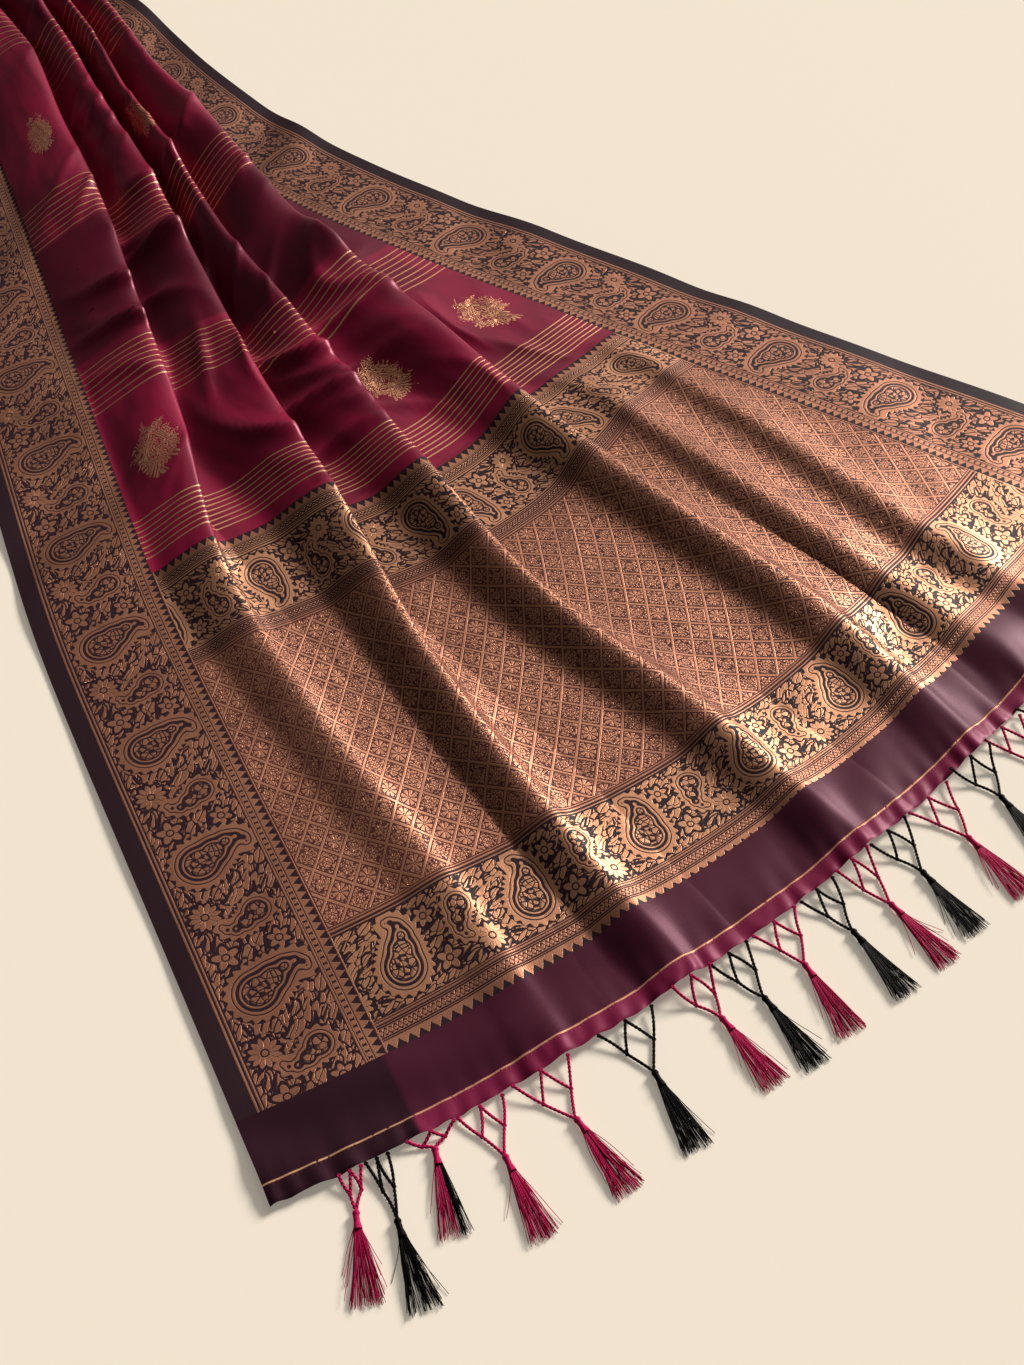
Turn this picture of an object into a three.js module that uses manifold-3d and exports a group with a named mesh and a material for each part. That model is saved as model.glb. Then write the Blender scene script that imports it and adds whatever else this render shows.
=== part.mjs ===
// A silk saree laid on a flat surface: the end piece is fanned out towards the viewer with its tassels,
// the body behind it is gathered into long pleats, and the rest is folded into a flat stack behind.
// Millimetres, +Z up. The underside lies on z = 0, and +Y runs from the tasselled end to the stack.
import * as THREE from "three";
import { mergeVertices } from "three/addons/utils/BufferGeometryUtils.js";
import Module from "manifold-3d";

const wasm = await Module();
wasm.setup();

// The cut cloth, which is about 1200 wide.
const BORDER_WIDTH = 120;
const WALL = 1.2;
const SEAM = 0.3;

// Where each stretch ends, measured along the cloth from the hem's outer edge.
const HEM_END = 18;
const END_BAND_END = 72;
const PALLU_END = 626;
const BODY_END = 1660;

// How the laid cloth sits on the surface: half the hem's chord, and the step that its edges are walked with.
const HALF_HEM = 571;
const EDGE_STEP = 5;

// Headings of the two long edges in degrees from +X, and of each section where it leaves the left edge.
const EDGES = [
  { along: 0, left: 74, right: 106, section: -16 },
  { along: 500, left: 74, right: 106, section: -16 },
  { along: 680, left: 70, right: 106, section: -16 },
  { along: 900, left: 69.5, right: 105, section: -16 },
  { along: 1040, left: 69.5, right: 98, section: -16 },
  { along: 1180, left: 69.5, right: 92, section: -16 },
  { along: 1300, left: 70, right: 85, section: -16 },
  { along: 1420, left: 71, right: 81, section: -12 },
  { along: 1560, left: 84, right: 91, section: -2 },
  { along: 1660, left: 89, right: 93, section: 5.2 },
];

// The long pleats, from the left. place: the crest's share of the section's width. height: its rise.
// tuck: how far the cloth folds back under the crest, or, below zero, how far it slopes down beyond it.
// lead: the width of the side that rises to the crest, as far as there is room for it.
const PLEAT_A = [
  { along: 0, place: 0.21, height: 4, tuck: -45, lead: 40 },
  { along: 200, place: 0.213, height: 7, tuck: -45, lead: 40 },
  { along: 400, place: 0.208, height: 10, tuck: -40, lead: 40 },
  { along: 600, place: 0.222, height: 14, tuck: -16, lead: 52 },
  { along: 800, place: 0.288, height: 21, tuck: 34, lead: 74 },
  { along: 1000, place: 0.357, height: 25, tuck: 48, lead: 86 },
  { along: 1200, place: 0.434, height: 29.5, tuck: 54, lead: 96 },
  { along: 1400, place: 0.48, height: 29.5, tuck: 48, lead: 96 },
  { along: 1660, place: 0.6, height: 31, tuck: 56, lead: 110 },
];
const PLEAT_B = [
  { along: 0, place: 0.31, height: 8.5, tuck: -52, lead: 40 },
  { along: 200, place: 0.313, height: 15.5, tuck: -46, lead: 38 },
  { along: 400, place: 0.332, height: 21, tuck: -16, lead: 42 },
  { along: 600, place: 0.382, height: 25, tuck: 26, lead: 66 },
  { along: 800, place: 0.422, height: 26.5, tuck: 42, lead: 90 },
  { along: 1000, place: 0.497, height: 28, tuck: 40, lead: 90 },
  { along: 1200, place: 0.572, height: 32, tuck: 32, lead: 90 },
  { along: 1400, place: 0.61, height: 33.5, tuck: 24, lead: 90 },
  { along: 1660, place: 0.71, height: 33.5, tuck: 14, lead: 90 },
];
const PLEAT_C = [
  { along: 0, place: 0.478, height: 8.5, tuck: -56, lead: 42 },
  { along: 200, place: 0.477, height: 17, tuck: -50, lead: 42 },
  { along: 400, place: 0.466, height: 22.5, tuck: -8, lead: 44 },
  { along: 600, place: 0.498, height: 25, tuck: 26, lead: 58 },
  { along: 800, place: 0.536, height: 28, tuck: 34, lead: 90 },
  { along: 1000, place: 0.583, height: 31, tuck: 18, lead: 90 },
  { along: 1200, place: 0.652, height: 35, tuck: 11, lead: 90 },
  { along: 1400, place: 0.692, height: 36.5, tuck: 8, lead: 90 },
  { along: 1660, place: 0.8, height: 35, tuck: 8, lead: 90 },
];
const PLEAT_D = [
  { along: 0, place: 0.61, height: 8.5, tuck: -44, lead: 42 },
  { along: 200, place: 0.639, height: 15.5, tuck: -38, lead: 42 },
  { along: 400, place: 0.647, height: 21, tuck: -24, lead: 44 },
  { along: 600, place: 0.665, height: 26.5, tuck: 32, lead: 64 },
  { along: 800, place: 0.7, height: 28, tuck: 52, lead: 90 },
  { along: 1000, place: 0.738, height: 29.5, tuck: 46, lead: 90 },
  { along: 1200, place: 0.8, height: 35, tuck: 38, lead: 90 },
  { along: 1400, place: 0.815, height: 36.5, tuck: 24, lead: 90 },
  { along: 1660, place: 0.91, height: 35, tuck: 14, lead: 90 },
];
// Two soft waves in the end piece that die out where the body starts.
const WAVE_E = [
  { along: 0, place: 0.7, height: 5.5, reach: 34 },
  { along: 200, place: 0.714, height: 11, reach: 30 },
  { along: 400, place: 0.732, height: 11, reach: 28 },
  { along: 600, place: 0.755, height: 5.5, reach: 26 },
];
const WAVE_F = [
  { along: 0, place: 0.775, height: 5.5, reach: 34 },
  { along: 200, place: 0.787, height: 10, reach: 30 },
  { along: 400, place: 0.818, height: 8.5, reach: 26 },
  { along: 600, place: 0.838, height: 3, reach: 20 },
];
const WAVES_FADE = { from: 540, to: 680 };

// A folded-back pleat: how far its crest stands past the fold under it, and where its lower turn lies.
// Beyond the border's foot, and between two pleats, the cloth lies level for at least a little way.
const CREST_NOSE = 4;
const TURN_HEIGHT = 5;
const TURN_DEPTH = 3;
const SOFT_TUCK = 20;
const CLEAR_OF_CREST = 10;
const LEVEL = WALL / 2;
const BORDER_FOOT = 115;
const LEAST_FLOOR = 12;
// How many control points a level edge and each pleat have, and which of them carry the shape.
const PLEATS = 4;
const EDGE_POINTS = 4;
const PLEAT_POINTS = 12;
const PLEAT_COLUMNS = [1, 2, 3, 4, 5, 6, 8, 9, 10, 11];
const WAVE_COLUMNS = [0, 1, 2, 3, 4, 5, 6, 7, 8, 9];
const FADED_WAVE_COLUMNS = [3, 7];

// The sections that the walls are drawn through, along the cloth.
const BODY_SECTIONS = [626, 700, 775, 850, 925, 1000, 1075, 1150, 1225, 1300, 1375, 1450, 1520, 1590, 1660];
const PALLU_SECTIONS = [72, 145, 225, 305, 385, 465, 545, 626];

// Tassels along the hem. across: their place on the cloth's width. drop: from the hem to the knot.
// lean: degrees turned to the left of square. colour: the two yarns, which mostly take turns.
const TASSELS = [
  { across: 60, drop: 32, lean: -15, colour: "magenta" },
  { across: 81, drop: 50, lean: -6, colour: "black" },
  { across: 124, drop: 15, lean: -12, colour: "magenta" },
  { across: 165, drop: 45, lean: -4, colour: "magenta" },
  { across: 217, drop: 47, lean: 3, colour: "magenta" },
  { across: 294, drop: 48, lean: -6, colour: "black" },
  { across: 358, drop: 41, lean: -1, colour: "magenta" },
  { across: 398, drop: 47, lean: -4, colour: "black" },
  { across: 446, drop: 45, lean: -10, colour: "magenta" },
  { across: 494, drop: 47, lean: -8, colour: "black" },
  { across: 534, drop: 49, lean: -6, colour: "magenta" },
  { across: 580, drop: 46, lean: -10, colour: "black" },
  { across: 634, drop: 50, lean: -8, colour: "magenta" },
  { across: 692, drop: 45, lean: -8, colour: "black" },
  { across: 742, drop: 47, lean: -5, colour: "magenta" },
  { across: 791, drop: 44, lean: -7, colour: "black" },
  { across: 843, drop: 48, lean: -3, colour: "magenta" },
  { across: 894, drop: 46, lean: -6, colour: "black" },
  { across: 942, drop: 45, lean: -2, colour: "magenta" },
  { across: 990, drop: 48, lean: -5, colour: "black" },
  { across: 1044, drop: 46, lean: 0, colour: "magenta" },
  { across: 1092, drop: 44, lean: -4, colour: "black" },
  { across: 1141, drop: 46, lean: 3, colour: "magenta" },
];
const NET_HALF_WIDTH = 24;
const NET_GAP = 2;
const NET_START = 1;
const NET_CORD = 0.9;
const NET_KNOT = 1.7;
const NET_HEIGHT = 1.9;
const HEAD_RADIUS = 3.2;
const HEAD_LENGTH = 11;
const SKIRT = { length: 8, near: 2.1, far: 6.6 };
const STRANDS = 8;
const STRAND_RADIUS = 0.75;
const STRAND_LENGTH = 56;
const STRAND_SPREAD = 3.2;
const ROOT_SPREAD = 1.6;
const STRAND_HEIGHT = 1.2;
const STRAND_LIFT = 1.1;
// Joining leaves slivers where yarns meet; those thinner than this are merged.
const SLIVER = 0.05;

// The folded stack behind the body.
const STACK = {
  front: BODY_END + SEAM,
  width: 408,
  depth: 372,
  corner: 26,
  layers: 9,
  layer: 5.2,
  lip: 2.4,
  crown: 5,
};

const COLOURS = {
  silk: 0x6e1f35,
  plum: 0x4a2a33,
  shot: 0x55303a,
  copper: 0x7a4a34,
  magenta: 0x9a1f4d,
  black: 0x1c1a19,
};

// A cloth or yarn material of one colour.
function material(colour, roughness, metalness = 0) {
  return new THREE.MeshStandardMaterial({ color: colour, roughness, metalness });
}

const silk = material(COLOURS.silk, 0.5);
const zariBorder = material(COLOURS.copper, 0.45, 0.2);
const shotSilk = material(COLOURS.shot, 0.5);
const plumSilk = material(COLOURS.plum, 0.5);
const yarns = { magenta: material(COLOURS.magenta, 0.8), black: material(COLOURS.black, 0.8) };

const radians = THREE.MathUtils.degToRad;
const clamp = THREE.MathUtils.clamp;
const mix = THREE.MathUtils.lerp;

// A smooth curve through one column of a table, level with its slope at the neighbouring rows.
function column(rows, key, along) {
  const at = clamp(along, rows[0].along, rows[rows.length - 1].along);
  let i = 0;
  while (i < rows.length - 2 && at > rows[i + 1].along) i += 1;
  const slope = (k) => {
    const a = rows[Math.max(k - 1, 0)];
    const b = rows[Math.min(k + 1, rows.length - 1)];
    return (b[key] - a[key]) / (b.along - a.along);
  };
  const span = rows[i + 1].along - rows[i].along;
  const t = (at - rows[i].along) / span;
  const rise = t * t * (3 - 2 * t);
  return (
    mix(rows[i][key], rows[i + 1][key], rise) +
    span * t * (1 - t) * ((1 - t) * slope(i) - t * slope(i + 1))
  );
}

// Both long edges, walked from the hem by their headings.
const edgeLeft = [];
const edgeRight = [];
for (let along = 0, left = [-HALF_HEM, 0], right = [HALF_HEM, 0]; along <= BODY_END + 50; along += EDGE_STEP) {
  edgeLeft.push([...left]);
  edgeRight.push([...right]);
  const a = radians(column(EDGES, "left", along));
  const b = radians(column(EDGES, "right", along));
  left = [left[0] + EDGE_STEP * Math.cos(a), left[1] + EDGE_STEP * Math.sin(a)];
  right = [right[0] + EDGE_STEP * Math.cos(b), right[1] + EDGE_STEP * Math.sin(b)];
}

// A point on a walked edge; before the hem the first step is carried on backwards.
function edgeAt(edge, along) {
  const place = along / EDGE_STEP;
  const i = clamp(Math.floor(place), 0, edge.length - 2);
  const t = place - i;
  return [mix(edge[i][0], edge[i + 1][0], t), mix(edge[i][1], edge[i + 1][1], t)];
}

// One section on the plan: an arc from the left edge to the right one. width is its length.
function sectionArc(along) {
  const start = edgeAt(edgeLeft, along);
  const end = edgeAt(edgeRight, along);
  const chord = Math.hypot(end[0] - start[0], end[1] - start[1]);
  const chordHeading = Math.atan2(end[1] - start[1], end[0] - start[0]);
  const heading = radians(column(EDGES, "section", along));
  const turn = 2 * (chordHeading - heading);
  const radius = chord / (2 * Math.sin(turn / 2));
  return { start, heading, turn, radius, width: radius * turn };
}

function onArc(arc, x) {
  const angle = arc.heading + (arc.turn * x) / arc.width;
  return [
    arc.start[0] + arc.radius * (Math.sin(angle) - Math.sin(arc.heading)),
    arc.start[1] + arc.radius * (Math.cos(arc.heading) - Math.cos(angle)),
  ];
}

// The control points of a section's height line, from the left edge to the right: x on the arc, z up.
function controlPoints(along, width) {
  const points = [[0, LEVEL], [BORDER_FOOT / 3, LEVEL], [(BORDER_FOOT * 2) / 3, LEVEL], [BORDER_FOOT, LEVEL]];
  let base = BORDER_FOOT;
  let clear = BORDER_FOOT + 2;
  for (const rows of [PLEAT_A, PLEAT_B, PLEAT_C, PLEAT_D]) {
    const crest = column(rows, "place", along) * width;
    const height = column(rows, "height", along);
    const tuck = column(rows, "tuck", along);
    const lead = Math.min(column(rows, "lead", along), crest - clear);
    const folded = clamp(tuck / SOFT_TUCK, 0, 1);
    const open = clamp(-tuck / SOFT_TUCK, 0, 1);
    const over = clamp(tuck / SOFT_TUCK / 2 + 0.5, 0, 1);
    const under = crest - tuck;
    const turn = TURN_DEPTH * (folded - open);
    const foot = crest - 0.5 * Math.max(tuck, 0) + Math.max(-tuck, 0) + 14 * open;
    points.push([mix(base, crest - lead, 0.5), LEVEL]);
    points.push([crest - lead, LEVEL]);
    points.push([crest - 0.72 * lead, LEVEL + 0.42 * height]);
    points.push([crest - 0.38 * lead, LEVEL + 0.82 * height]);
    points.push([crest - 0.12 * lead, LEVEL + height]);
    points.push([crest + CREST_NOSE, LEVEL + 0.94 * height]);
    points.push([crest + CREST_NOSE / 2 - 0.2 * tuck * (1 - over), LEVEL + 0.5 * height]);
    points.push([crest - 0.5 * tuck, LEVEL + mix(0.22 * height, TURN_HEIGHT + 1.5, over)]);
    points.push([under, LEVEL + mix(0.06 * height, TURN_HEIGHT, over)]);
    points.push([under - turn, LEVEL + (over * TURN_HEIGHT) / 2]);
    points.push([under + 6 * open, LEVEL]);
    points.push([foot, LEVEL]);
    base = foot;
    clear = Math.max(crest + CLEAR_OF_CREST, foot + 6);
  }
  const last = Math.max(width - BORDER_WIDTH, base + LEAST_FLOOR);
  const fade = THREE.MathUtils.smoothstep(along, WAVES_FADE.from, WAVES_FADE.to);
  const evenStep = (last - base) / 11;
  let step = 1;
  for (const rows of [WAVE_E, WAVE_F]) {
    const crest = column(rows, "place", along) * width;
    const height = column(rows, "height", along) * (1 - fade);
    const reach = column(rows, "reach", along);
    for (const [side, rise] of [[-1, 0], [-0.45, 0.7], [0, 1], [0.5, 0.55], [1.1, 0]]) {
      points.push([mix(crest + side * reach, base + evenStep * step, fade), LEVEL + rise * height]);
      step += 1;
    }
  }
  const rest = width - last;
  points.push([last, LEVEL], [last + rest / 3, LEVEL], [last + (rest * 2) / 3, LEVEL], [width, LEVEL]);
  return points;
}

// A uniform cubic B-spline through the control points: t counts them, and both ends are met.
function spline(points, t) {
  const last = points.length - 1;
  const at = (i) => {
    if (i < 0) return [2 * points[0][0] - points[1][0], 2 * points[0][1] - points[1][1]];
    if (i > last) return [2 * points[last][0] - points[last - 1][0], 2 * points[last][1] - points[last - 1][1]];
    return points[i];
  };
  const i = clamp(Math.floor(t), 0, last - 1);
  const f = t - i;
  const weights = [(1 - f) ** 3, 3 * f ** 3 - 6 * f ** 2 + 4, -3 * f ** 3 + 3 * f ** 2 + 3 * f + 1, f ** 3];
  return [0, 1].map((k) => weights.reduce((sum, w, j) => sum + (w * at(i - 1 + j)[k]) / 6, 0));
}

// One section with everything that its points need.
function section(along) {
  const arc = sectionArc(along);
  const points = controlPoints(along, arc.width);
  // The right border shows whole, or as far as the last pleat leaves it.
  const rightBorder = arc.width - points[points.length - EDGE_POINTS][0];
  return { arc, points, rightBorder };
}

function onSection(made, t) {
  const [x, z] = spline(made.points, t);
  const [px, py] = onArc(made.arc, x);
  return new THREE.Vector3(px, py, z);
}

// The place t on a section that lies a given length of cloth in from its left or right edge.
function inFromEdge(made, length, fromRight) {
  const last = made.points.length - 1;
  const step = 0.05 * (fromRight ? -1 : 1);
  let t = fromRight ? last : 0;
  let walked = 0;
  let here = spline(made.points, t);
  while (walked < length) {
    const next = spline(made.points, t + step);
    const piece = Math.hypot(next[0] - here[0], next[1] - here[1]);
    if (walked + piece >= length) return t + (step * (length - walked)) / piece;
    walked += piece;
    t += step;
    here = next;
  }
  return t;
}

// A wall through sections: halfWall to each side of the cloth's middle surface, closed all round.
// columnsOf gives the places t on a section, as many on each.
function clothWall(alongs, columnsOf) {
  const nudge = 0.5;
  const over = [];
  const under = [];
  let columns = 0;
  for (const along of alongs) {
    const made = section(along);
    const before = section(along - nudge);
    const after = section(along + nudge);
    const places = columnsOf(made, along);
    columns = places.length;
    for (const t of places) {
      const middle = onSection(made, t);
      const across = onSection(made, t + 0.02).sub(onSection(made, t - 0.02));
      const onward = onSection(after, t).sub(onSection(before, t));
      const normal = across.cross(onward).normalize().multiplyScalar(WALL / 2);
      over.push(middle.clone().add(normal));
      under.push(middle.clone().sub(normal));
    }
  }
  for (const p of under) p.z = Math.max(p.z, 0);
  return closedWall(over, under, alongs.length, columns);
}

// A closed mesh from an upper and a lower grid of rows by columns.
function closedWall(over, under, rows, columns) {
  const points = [...over, ...under];
  const shift = over.length;
  const index = [];
  const quad = (a, b, c, d) => index.push(a, b, c, a, c, d);
  for (let r = 0; r < rows - 1; r += 1) {
    for (let c = 0; c < columns - 1; c += 1) {
      const a = r * columns + c;
      quad(a, a + 1, a + columns + 1, a + columns);
      quad(shift + a, shift + a + columns, shift + a + columns + 1, shift + a + 1);
    }
    const first = r * columns;
    const last = first + columns - 1;
    quad(first, first + columns, shift + first + columns, shift + first);
    quad(last + columns, last, shift + last, shift + last + columns);
  }
  for (let c = 0; c < columns - 1; c += 1) {
    const far = (rows - 1) * columns + c;
    quad(c + 1, c, shift + c, shift + c + 1);
    quad(far, far + 1, shift + far + 1, shift + far);
  }
  const geometry = new THREE.BufferGeometry();
  geometry.setAttribute("position", new THREE.Float32BufferAttribute(points.flatMap((p) => p.toArray()), 3));
  geometry.setIndex(index);
  return geometry;
}

// Places between the two borders: the seams, and the control points that the pleats' shape needs.
function middleColumns(made, waveColumns) {
  const left = inFromEdge(made, BORDER_WIDTH + SEAM / 2, false);
  const right = inFromEdge(made, made.rightBorder + SEAM / 2, true);
  return [left, ...shapeColumns(waveColumns), right];
}

// The control points that shape the pleats and waves, without those on their straight runs.
function shapeColumns(waveColumns) {
  const places = [];
  for (let pleat = 0; pleat < PLEATS; pleat += 1) {
    for (const k of PLEAT_COLUMNS) places.push(EDGE_POINTS + pleat * PLEAT_POINTS + k);
  }
  for (const k of waveColumns) places.push(EDGE_POINTS + PLEATS * PLEAT_POINTS + k);
  return places;
}

function evenColumns(from, to, count) {
  return Array.from({ length: count }, (_, i) => mix(from, to, i / (count - 1)));
}

// All the places on a section, for the hem, which crosses the borders too.
function allColumns(made) {
  const foot = made.points.length - EDGE_POINTS;
  return [0, 1, 2, 3, ...shapeColumns(WAVE_COLUMNS), foot, foot + 1, foot + 2, foot + 3];
}

function leftBorderColumns(made) {
  return evenColumns(0, inFromEdge(made, BORDER_WIDTH - SEAM / 2, false), 4);
}

function rightBorderColumns(made) {
  return evenColumns(inFromEdge(made, made.rightBorder - SEAM / 2, true), made.points.length - 1, 4);
}

// A stretch between two seams, drawn through its sections and held back from both seams.
function stretch(alongs) {
  const held = [...alongs];
  held[0] += SEAM / 2;
  held[held.length - 1] -= SEAM / 2;
  return held;
}

// A solid for manifold-3d from a closed geometry.
function solid(geometry) {
  const bare = geometry.clone();
  bare.deleteAttribute("normal");
  bare.deleteAttribute("uv");
  const merged = mergeVertices(bare, 1e-4);
  return new wasm.Manifold(
    new wasm.Mesh({
      numProp: 3,
      vertProperties: merged.attributes.position.array,
      triVerts: new Uint32Array(merged.index.array),
    }),
  );
}

// Several closed geometries joined into one.
function fuse(geometries) {
  const joined = geometries.map(solid).reduce((a, b) => a.add(b)).simplify(SLIVER);
  const mesh = joined.getMesh();
  const geometry = new THREE.BufferGeometry();
  geometry.setAttribute("position", new THREE.BufferAttribute(new Float32Array(mesh.vertProperties), 3));
  geometry.setIndex(new THREE.BufferAttribute(new Uint32Array(mesh.triVerts), 1));
  return geometry;
}

// A yarn or cord of a few flat sides through points, with a radius at each.
function yarn(points, radii, sides) {
  const rings = points.map((p, i) => {
    const next = points[Math.min(i + 1, points.length - 1)];
    const previous = points[Math.max(i - 1, 0)];
    const way = next.clone().sub(previous).normalize();
    const side = new THREE.Vector3().crossVectors(way, new THREE.Vector3(0, 0, 1)).normalize();
    const up = new THREE.Vector3().crossVectors(side, way);
    return Array.from({ length: sides }, (_, k) => {
      const angle = Math.PI / 2 + (2 * Math.PI * k) / sides;
      return p
        .clone()
        .addScaledVector(side, radii[i] * Math.cos(angle))
        .addScaledVector(up, radii[i] * Math.sin(angle));
    });
  });
  const index = [];
  for (let r = 0; r < rings.length - 1; r += 1) {
    for (let k = 0; k < sides; k += 1) {
      const a = r * sides + k;
      const b = r * sides + ((k + 1) % sides);
      index.push(a, b + sides, b, a, a + sides, b + sides);
    }
  }
  const end = (rings.length - 1) * sides;
  for (let k = 1; k < sides - 1; k += 1) {
    index.push(0, k, k + 1, end, end + k + 1, end + k);
  }
  const geometry = new THREE.BufferGeometry();
  geometry.setAttribute("position", new THREE.Float32BufferAttribute(rings.flat().flatMap((p) => p.toArray()), 3));
  geometry.setIndex(index);
  return geometry;
}

// A repeatable number between -1 and 1 for the unevenness of hand work.
function uneven(seed) {
  const wave = Math.sin(seed * 12.9898) * 43758.5453;
  return 2 * (wave - Math.floor(wave)) - 1;
}

// A tassel under its knotted net: cords run from the hem to a row of knots, to a second row and to the head.
function tassel(row, number) {
  const made = section(0);
  const place = inFromEdge(made, row.across, false);
  const root = onSection(made, place);
  const inward = onSection(section(1), place).sub(root);
  const square = Math.atan2(-inward.y, -inward.x);
  const nearest = TASSELS.filter((other) => other !== row).map((other) => Math.abs(other.across - row.across));
  const half = Math.min(NET_HALF_WIDTH, Math.min(...nearest) / 2 - NET_GAP);
  const turned = square + radians(row.lean);

  // Out along the floor and to the side, turned from square to the leaning line between hem and head.
  const at = (out, aside, height) => {
    const share = clamp(out / row.drop, 0, 1);
    const line = mix(square, turned, share);
    const sideways = square + Math.PI / 2;
    return new THREE.Vector3(
      root.x + out * Math.cos(line) + aside * Math.cos(sideways),
      root.y + out * Math.sin(line) + aside * Math.sin(sideways),
      height,
    );
  };
  const hang = (out) => mix(Math.max(root.z, NET_HEIGHT), NET_HEIGHT, clamp(out / (0.4 * row.drop), 0, 1));
  const pieces = [];
  const cord = (a, b) => pieces.push(yarn([a, b], [NET_CORD, NET_CORD], 3));
  const knot = (p, radius) => pieces.push(new THREE.OctahedronGeometry(radius, 0).translate(p.x, p.y, p.z));

  const rowsOf = [
    { out: NET_START, places: [-1, 0, 1] },
    { out: 0.48 * row.drop, places: [-0.5, 0.5] },
    { out: row.drop - 3, places: [0] },
  ].map(({ out, places }) => places.map((share) => at(out, share * half, hang(out))));
  rowsOf.slice(1).forEach((knots, r) => {
    knots.forEach((p, i) => {
      cord(rowsOf[r][i], p);
      cord(rowsOf[r][i + 1], p);
      if (r === 0) knot(p, NET_KNOT);
    });
  });

  const head = [-4, 0, HEAD_LENGTH].map((along) => at(row.drop + along, 0, HEAD_RADIUS));
  pieces.push(yarn(head, [HEAD_RADIUS * 0.45, HEAD_RADIUS, HEAD_RADIUS * 0.9], 5));

  // The strands are rooted in a flat skirt that widens from the head outwards.
  const origin = at(row.drop + HEAD_LENGTH * 0.8, 0, 0);
  const sideways = turned + Math.PI / 2;
  const strandAt = (along, aside, z) =>
    new THREE.Vector3(
      origin.x + along * Math.cos(turned) + aside * Math.cos(sideways),
      origin.y + along * Math.sin(turned) + aside * Math.sin(sideways),
      z,
    );
  const layer = (near, far) => [
    strandAt(0, SKIRT.near, near),
    strandAt(0, -SKIRT.near, near),
    strandAt(SKIRT.length, SKIRT.far, far),
    strandAt(SKIRT.length, -SKIRT.far, far),
  ];
  pieces.push(closedWall(layer(4.4, 3.4), layer(1.7, 0.4), 2, 2));

  for (let k = 0; k < STRANDS; k += 1) {
    const place = k - (STRANDS - 1) / 2;
    const wander = 0.5 * uneven(number * 17 + k);
    const length = STRAND_LENGTH * (1 + 0.07 * uneven(number * 31 + k * 3));
    const high = STRAND_HEIGHT + STRAND_LIFT * (k % 2);
    const line = [
      strandAt(SKIRT.length - 1.5, place * ROOT_SPREAD, high + 0.1),
      strandAt(length, place * STRAND_SPREAD + wander, high),
    ];
    pieces.push(yarn(line, [STRAND_RADIUS, STRAND_RADIUS * 0.75], 3));
  }
  return fuse(pieces);
}

// The folded stack: rounded layers on each other, each with a full lip, under a low crowned top.
function foldedStack() {
  const arc = sectionArc(STACK.front);
  const left = onArc(arc, 0);
  const right = onArc(arc, arc.width);
  const heading = Math.atan2(right[1] - left[1], right[0] - left[0]);
  const middle = [(left[0] + right[0]) / 2, (left[1] + right[1]) / 2];
  const corners = 4;
  const ring = (inset, z) => {
    const hx = STACK.width / 2 - inset;
    const near = inset;
    const far = STACK.depth - inset;
    const r = Math.max(STACK.corner - inset, 2);
    const centres = [
      { x: hx - r, y: near + r, from: -90 },
      { x: hx - r, y: far - r, from: 0 },
      { x: -hx + r, y: far - r, from: 90 },
      { x: -hx + r, y: near + r, from: 180 },
    ];
    return centres.flatMap(({ x, y, from }) =>
      evenColumns(from, from + 90, corners).map((angle) => {
        const lx = x + r * Math.cos(radians(angle));
        const ly = y + r * Math.sin(radians(angle));
        return new THREE.Vector3(
          middle[0] + lx * Math.cos(heading) - ly * Math.sin(heading),
          middle[1] + lx * Math.sin(heading) + ly * Math.cos(heading),
          z,
        );
      }),
    );
  };
  const rings = [ring(STACK.lip, 0)];
  for (let k = 0; k < STACK.layers; k += 1) {
    const low = k * STACK.layer;
    rings.push(ring(0.4 + 0.8 * (1 + uneven(k)), low + STACK.layer * 0.3));
    rings.push(ring(0.2 + 0.8 * (1 + uneven(k)), low + STACK.layer * 0.7));
    rings.push(ring(STACK.lip + 0.8 * (1 + uneven(k)), low + STACK.layer));
  }
  const top = STACK.layers * STACK.layer;
  rings.push(ring(24, top + STACK.crown * 0.6));
  rings.push(ring(80, top + STACK.crown));
  const count = rings[0].length;
  const index = [];
  for (let r = 0; r < rings.length - 1; r += 1) {
    for (let k = 0; k < count; k += 1) {
      const a = r * count + k;
      const b = r * count + ((k + 1) % count);
      index.push(a, b, b + count, a, b + count, a + count);
    }
  }
  const end = (rings.length - 1) * count;
  for (let k = 1; k < count - 1; k += 1) {
    index.push(0, k + 1, k, end, end + k, end + k + 1);
  }
  const geometry = new THREE.BufferGeometry();
  geometry.setAttribute("position", new THREE.Float32BufferAttribute(rings.flat().flatMap((p) => p.toArray()), 3));
  geometry.setIndex(index);
  return geometry;
}

const saree = new THREE.Group();

function add(name, geometry, look) {
  const mesh = new THREE.Mesh(geometry, look);
  mesh.name = name;
  saree.add(mesh);
}

const borderSections = [END_BAND_END, ...PALLU_SECTIONS.slice(1, -1), ...BODY_SECTIONS];
add("hem", clothWall(stretch([0, HEM_END]).map((v, i) => (i ? v : 0)), allColumns), plumSilk);
add("end_band", clothWall(stretch([HEM_END, END_BAND_END]), allColumns), shotSilk);
add("pallu", clothWall(stretch(PALLU_SECTIONS), (made) => middleColumns(made, WAVE_COLUMNS)), zariBorder);
add("body", clothWall(stretch(BODY_SECTIONS), (made) => middleColumns(made, FADED_WAVE_COLUMNS)), silk);
add("border_left", clothWall(stretch(borderSections), leftBorderColumns), zariBorder);
add("border_right", clothWall(stretch(borderSections), rightBorderColumns), zariBorder);
add("folded_length", foldedStack(), silk);
TASSELS.forEach((row, i) => {
  add("tassel_" + String(i + 1).padStart(2, "0"), tassel(row, i + 1), yarns[row.colour]);
});

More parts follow.
